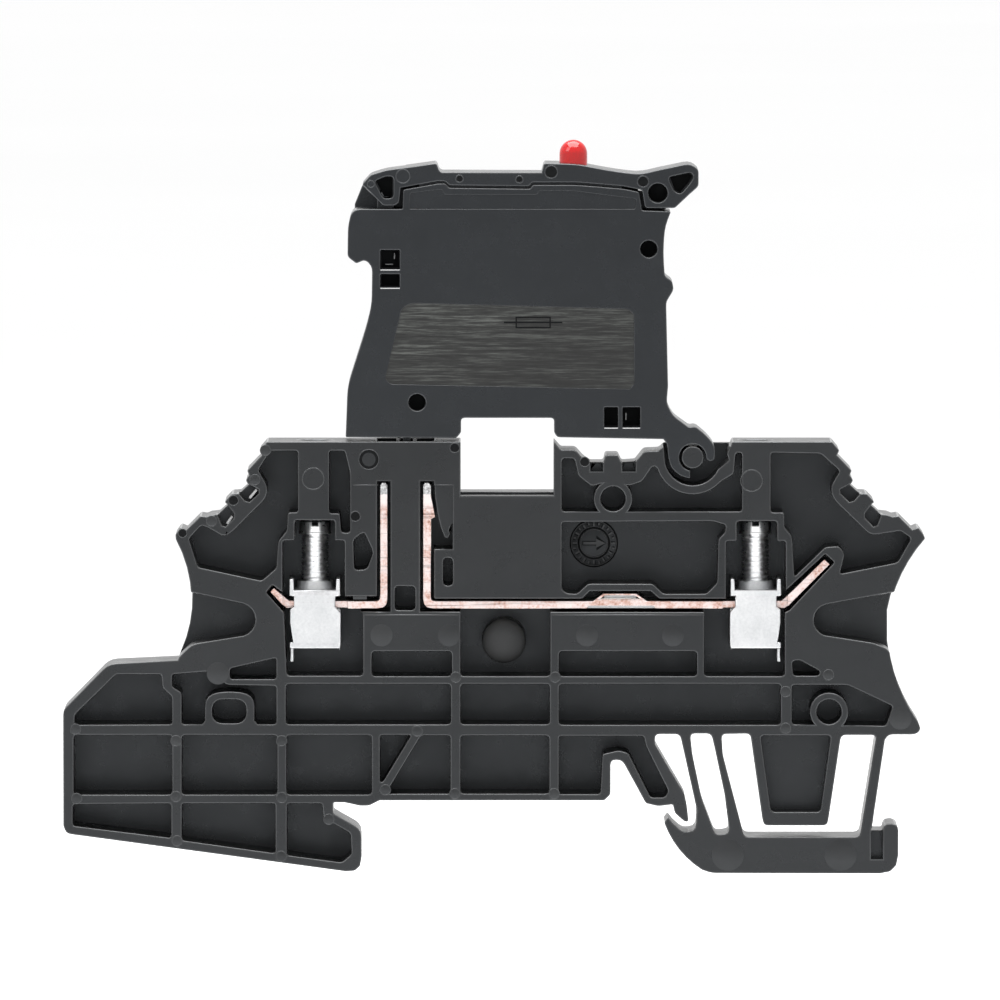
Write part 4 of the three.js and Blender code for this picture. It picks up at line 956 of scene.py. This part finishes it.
def make_lid():
    """The lid, its pin marks and the shaded floors of its pits."""
    dressed("lid", "lid_moulding", [LEVER_PLASTIC, LEVER_HIGHLIGHT], 0.12, 2, 1)
    sunk = [(4.99, 65.2, 0.66), (14.5, 64.2, 0.58), (-4.5, 64.5, 0.38), (1.7, 64.42, 0.38)]
    rings, shaded = bmesh.new(), bmesh.new()
    for x, z, radius in sunk:
        soft_disc(shaded, x, z, radius, LEVER_FRONT, 0.015)
    for x, z, radius in [*sunk, (-10.36, 64.75, 0.72), (-13.68, 63.95, 0.36)]:
        soft_ring(rings, x, z, radius, LEVER_FRONT, 0.12, 0.03)
    # The rings are in the lighter copy: painted highlight.
    add_piece("lid_ejector_rings", rings, [LEVER_HIGHLIGHT], "lid")
    pocket_floor = LEVER_FRONT + 2.2
    prism(shaded, [(-13.15, 64.2), (-12.1, 64.62), (-11.45, 64.6), (-11.45, 62.62), (-12.3, 62.55)],
          pocket_floor - 0.1, pocket_floor + 0.05)
    prism(shaded, [(17.3, 64.6), (19.3, 65.0), (19.6, 64.75), (19.35, 64.2), (18.35, 63.0), (17.8, 63.25)],
          pocket_floor - 0.1, pocket_floor + 0.05)
    soft_disc(shaded, 16.04, 63.0, 0.96, pocket_floor, 0.1)
    brick(shaded, -10.4, -8.7, LEVER_FRONT + 1.22, LEVER_FRONT + 1.4, 63.3, 64.2)
    brick(shaded, 12.3, 14.0, LEVER_FRONT + 1.22, LEVER_FRONT + 1.4, 63.0, 64.0)
    add_piece("lid_shaded_pits", shaded, [GROOVE], "lid", smooth=False)


# ---------------------------------------------------------------- fuse
def make_fuse():
    """A 5 x 20 cartridge: rolled caps, glass tube, wire with solder beads."""
    tube_low, tube_high = cad_box("fuse_glass_tube")
    left_low, left_high = cad_box("fuse_left_cap")
    right_low, right_high = cad_box("fuse_right_cap")
    y, z = 0.0, (tube_low.z + tube_high.z) / 2
    cap_r = (left_high.z - left_low.z) / 2
    glass_r = (tube_high.z - tube_low.z) / 2
    length = left_high.x - left_low.x
    tube_length = tube_high.x - tube_low.x
    wall, lip = 0.6, 0.12
    tube = bmesh.new()
    revolve_loop(tube, [(glass_r, lip), (glass_r, tube_length - lip), (glass_r - lip, tube_length),
                        (glass_r - wall + lip, tube_length), (glass_r - wall, tube_length - lip),
                        (glass_r - wall, lip), (glass_r - wall + lip, 0), (glass_r - lip, 0)],
                 (tube_low.x, y, z), (1, 0, 0), 48)
    glass = add_piece("fuse_glass", tube, [GLASS], "lever", replaces=["fuse_glass_tube"])
    mark_sharp(glass, 50)
    ends = [("left", left_low.x, 1), ("right", right_high.x, -1)]
    for side, end_x, sign in ends:
        cap = bmesh.new()
        skin = 0.16
        profile = [(0, 0.05), (cap_r - 0.5, 0.04), (cap_r - 0.22, 0.0), (cap_r - 0.06, 0.08),
                   (cap_r, 0.26), (cap_r, 1.0), (cap_r - 0.05, 1.12), (cap_r, 1.24), (cap_r, length - 0.3),
                   (cap_r - 0.02, length - 0.08), (cap_r - skin / 2, length),
                   (cap_r - skin, length - 0.08), (cap_r - skin, 0.3), (0, 0.3)]
        revolve(cap, profile, (end_x, y, z), (sign, 0, 0), 48)
        add_piece(f"fuse_{side}_end_cap", cap, [NICKEL], "lever",
                  replaces=[f"fuse_{side}_cap"])
        bead = bmesh.new()
        revolve(bead, [(0, 0.32), (0.9, 0.32), (0.78, 0.5), (0.45, 0.78), (0.2, 1.1), (0, 1.2)],
                (end_x, y, z), (sign, 0, 0), 24)
        add_piece(f"fuse_{side}_solder_bead", bead, [SOLDER], "lever")
    wire = bmesh.new()
    add_wire(wire, left_low.x + 0.6, right_high.x - 0.6, y, z, 0.11)
    add_piece("fuse_link_wire", wire, [FUSE_WIRE], "lever", replaces=["fuse_wire"])


def add_wire(mesh, x0, x1, y, z, radius, steps=60, sides=8):
    """A thin wire from end to end with a slight wave, as it is stretched by hand."""
    rings = []
    for i in range(steps + 1):
        share = i / steps
        sway = math.sin(math.pi * share)
        cy = y + 0.1 * sway * math.sin(7 * share)
        cz = z - 0.16 * sway
        x = x0 + (x1 - x0) * share
        angles = [2 * math.pi * k / sides for k in range(sides)]
        rings.append([mesh.verts.new(point(x, cy + radius * math.cos(a), cz + radius * math.sin(a)))
                      for a in angles])
    for low, high in zip(rings, rings[1:]):
        for k in range(sides):
            m = (k + 1) % sides
            mesh.faces.new([low[k], low[m], high[m], high[k]])
    mesh.faces.new(rings[0])
    mesh.faces.new(rings[-1][::-1])


# ---------------------------------------------------------------- blown-fuse indicator
def make_lamp():
    """The lamp: a flanged lens, the cup and bond post inside it, and two leads."""
    low, high = cad_box("led_lens")
    x, y = (low.x + high.x) / 2, (low.y + high.y) / 2
    flange_r = (high.x - low.x) / 2
    lens_r = flange_r - 0.3
    height = high.z - low.z
    mesh = bmesh.new()
    dome = [(lens_r * math.cos(a), height - lens_r + lens_r * math.sin(a))
            for a in (math.pi / 2 * i / 12 for i in range(12))]
    flange = [(0, 0), (flange_r - 0.06, 0), (flange_r, 0.06), (flange_r, 0.8), (flange_r - 0.08, 0.9)]
    revolve(mesh, [*flange, (lens_r + 0.02, 0.92), (lens_r, 1.0), *dome, (0, height)],
            (x, y, low.z), (0, 0, 1), 48)
    add_piece("lamp_lens", mesh, [RED_LENS], "lid", replaces=["led_lens"])
    cup = bmesh.new()
    revolve(cup, [(0, 0), (0.3, 0), (0.34, 0.9), (0.62, 1.3), (0.58, 1.36), (0.2, 1.1), (0, 1.1)],
            (x - 0.35, y, low.z + 0.6), (0, 0, 1), 20)
    brick(cup, x + 0.45, x + 0.75, y - 0.2, y + 0.2, low.z + 0.6, low.z + 1.9)
    add_piece("lamp_die_cup", cup, [DARK_STEEL], "lid")
    for lead in ("anode", "cathode"):
        dressed(f"led_{lead}_lead", f"lamp_{lead}_lead", [SOLDER], 0.05, 2)


def make_board():
    """The lamp's circuit board with its parts, tracks and contact leaves."""
    dressed("led_circuit_board", "indicator_board", [BOARD], 0.06, 2)
    low, high = cad_box("led_circuit_board")
    pads = bmesh.new()
    for lead in ("anode", "cathode"):
        a, b = cad_box(f"led_{lead}_lead")
        revolve(pads, [(0, 0), (0.62, 0), (0.5, 0.1), (0.34, 0.22), (0, 0.26)],
                ((a.x + b.x) / 2, 0, high.z), (0, 0, 1), 20)
    for chip in ("led_resistor", "led_diode"):
        a, b = cad_box(chip)
        for x in (a.x - 0.25, b.x - 0.15):
            brick(pads, x, x + 0.4, a.y - 0.1, b.y + 0.1, high.z - 0.01, high.z + 0.12)
    add_piece("indicator_solder_pads", pads, [SOLDER], "lid", smooth=False)
    make_chip("led_resistor", "indicator_resistor", [CERAMIC, SOLDER], 0.55)
    make_chip("led_diode", "indicator_diode", [CHIP, SOLDER], 0.3)
    tracks = bmesh.new()
    for x in (-5.0, 10.0):
        brick(tracks, x - 1.15, x + 1.15, -1.2, 1.2, low.z - 0.02, low.z + 0.01)
    brick(tracks, -3.85, 8.85, -0.3, 0.3, low.z - 0.02, low.z + 0.01)
    add_piece("indicator_board_tracks", tracks, [TIN], "lid", smooth=False)
    for side in ("left", "right"):
        dressed(f"{side}_indicator_leaf", f"{side}_indicator_spring", [BRONZE], 0.03, 2)


def make_chip(node, name, materials, cap):
    """A surface-mount part with metal end caps."""
    low, high = cad_box(node)
    spans = [(low.x, low.x + cap, 1), (low.x + cap, high.x - cap, 0), (high.x - cap, high.x, 1)]
    mesh = bmesh.new()
    for x0, x1, index in spans:
        grow = 0.03 if index == 0 else 0.0
        before = set(mesh.faces)
        brick(mesh, x0, x1, low.y + grow, high.y - grow, low.z + grow, high.z - grow)
        for face in set(mesh.faces) - before:
            face.material_index = index
    bevelled(mesh, 0.05)
    obj = add_piece(name, mesh, materials, body_of(node), replaces=[node])
    even_normals(obj)


# ---------------------------------------------------------------- studio, metres
FLOOR_DROP = 0.025
CAMERA_DISTANCE = 2.1
CAMERA_ELEVATION = math.radians(2.9)
VIEW_CENTRE = Vector((-0.31, FRONT, 31.2)) * MM
VIEW_WIDTH = 103.6 * MM
ROOM_STRENGTH = 1.06


def make_camera():
    """A long lens in front of the part, a little above level."""
    data = bpy.data.cameras.new("camera")
    data.sensor_width = 36
    data.lens = data.sensor_width * CAMERA_DISTANCE / VIEW_WIDTH
    data.clip_start, data.clip_end = 0.1, 100
    camera = bpy.data.objects.new("camera", data)
    bpy.context.scene.collection.objects.link(camera)
    back = Vector((0, -math.cos(CAMERA_ELEVATION), math.sin(CAMERA_ELEVATION)))
    camera.location = VIEW_CENTRE + back * CAMERA_DISTANCE
    camera.rotation_euler = (-back).to_track_quat("-Z", "Y").to_euler()
    bpy.context.scene.camera = camera


def make_floor():
    """A wide disc under the part."""
    mesh = bmesh.new()
    bmesh.ops.create_circle(mesh, cap_ends=True, segments=64, radius=30)
    data = bpy.data.meshes.new("floor")
    mesh.to_mesh(data)
    mesh.free()
    data.materials.append(FLOOR)
    floor = bpy.data.objects.new("floor", data)
    floor.location.z = CAD_BOX[0].z - FLOOR_DROP
    bpy.context.scene.collection.objects.link(floor)


def make_softbox(name, place_at, target, size, watts):
    """A rectangular area light that faces the target."""
    data = bpy.data.lights.new(name, "AREA")
    data.shape = "RECTANGLE"
    data.size, data.size_y = size
    data.energy = watts
    light = bpy.data.objects.new(name, data)
    bpy.context.scene.collection.objects.link(light)
    light.location = Vector(place_at)
    light.rotation_euler = (Vector(target) - light.location).to_track_quat("-Z", "Y").to_euler()


def make_world():
    """A white room, a little dimmer towards the zenith."""
    world = bpy.data.worlds.new("studio")
    bpy.context.scene.world = world
    world.use_nodes = True
    tree = world.node_tree
    background = next(n for n in tree.nodes if n.type == "BACKGROUND")
    direction = add_node(tree, "ShaderNodeTexCoord").outputs["Generated"]
    height = add_node(tree, "ShaderNodeSeparateXYZ", Vector=direction).outputs["Z"]
    shade = ramp(tree, spread(tree, height, 0.0, 1.0, 0.0, 1.0), [(0.0, grey(1.0)), (1.0, grey(0.94))])
    tree.links.new(shade, background.inputs["Color"])
    background.inputs["Strength"].default_value = ROOM_STRENGTH


def make_studio():
    make_camera()
    make_floor()
    make_world()
    middle = (0, 0, 0.03)
    make_softbox("top", (0.0, 0.0, 0.55), middle, (0.6, 0.6), 7.0)
    make_softbox("upper_left", (-0.5, -0.35, 0.45), middle, (0.35, 0.35), 1.2)
    view = bpy.context.scene.view_settings
    view.view_transform = "Standard"
    view.look = "None"


make_studio()
make_housing()
make_ejector_marks()
make_moulded_details()
make_date_wheel()
make_busbars()
make_bridge_backing()
make_screws()
make_yokes()
make_lever()
make_lever_pits()
make_fuse_symbol()
make_lid()
make_fuse()
make_lamp()
make_board()
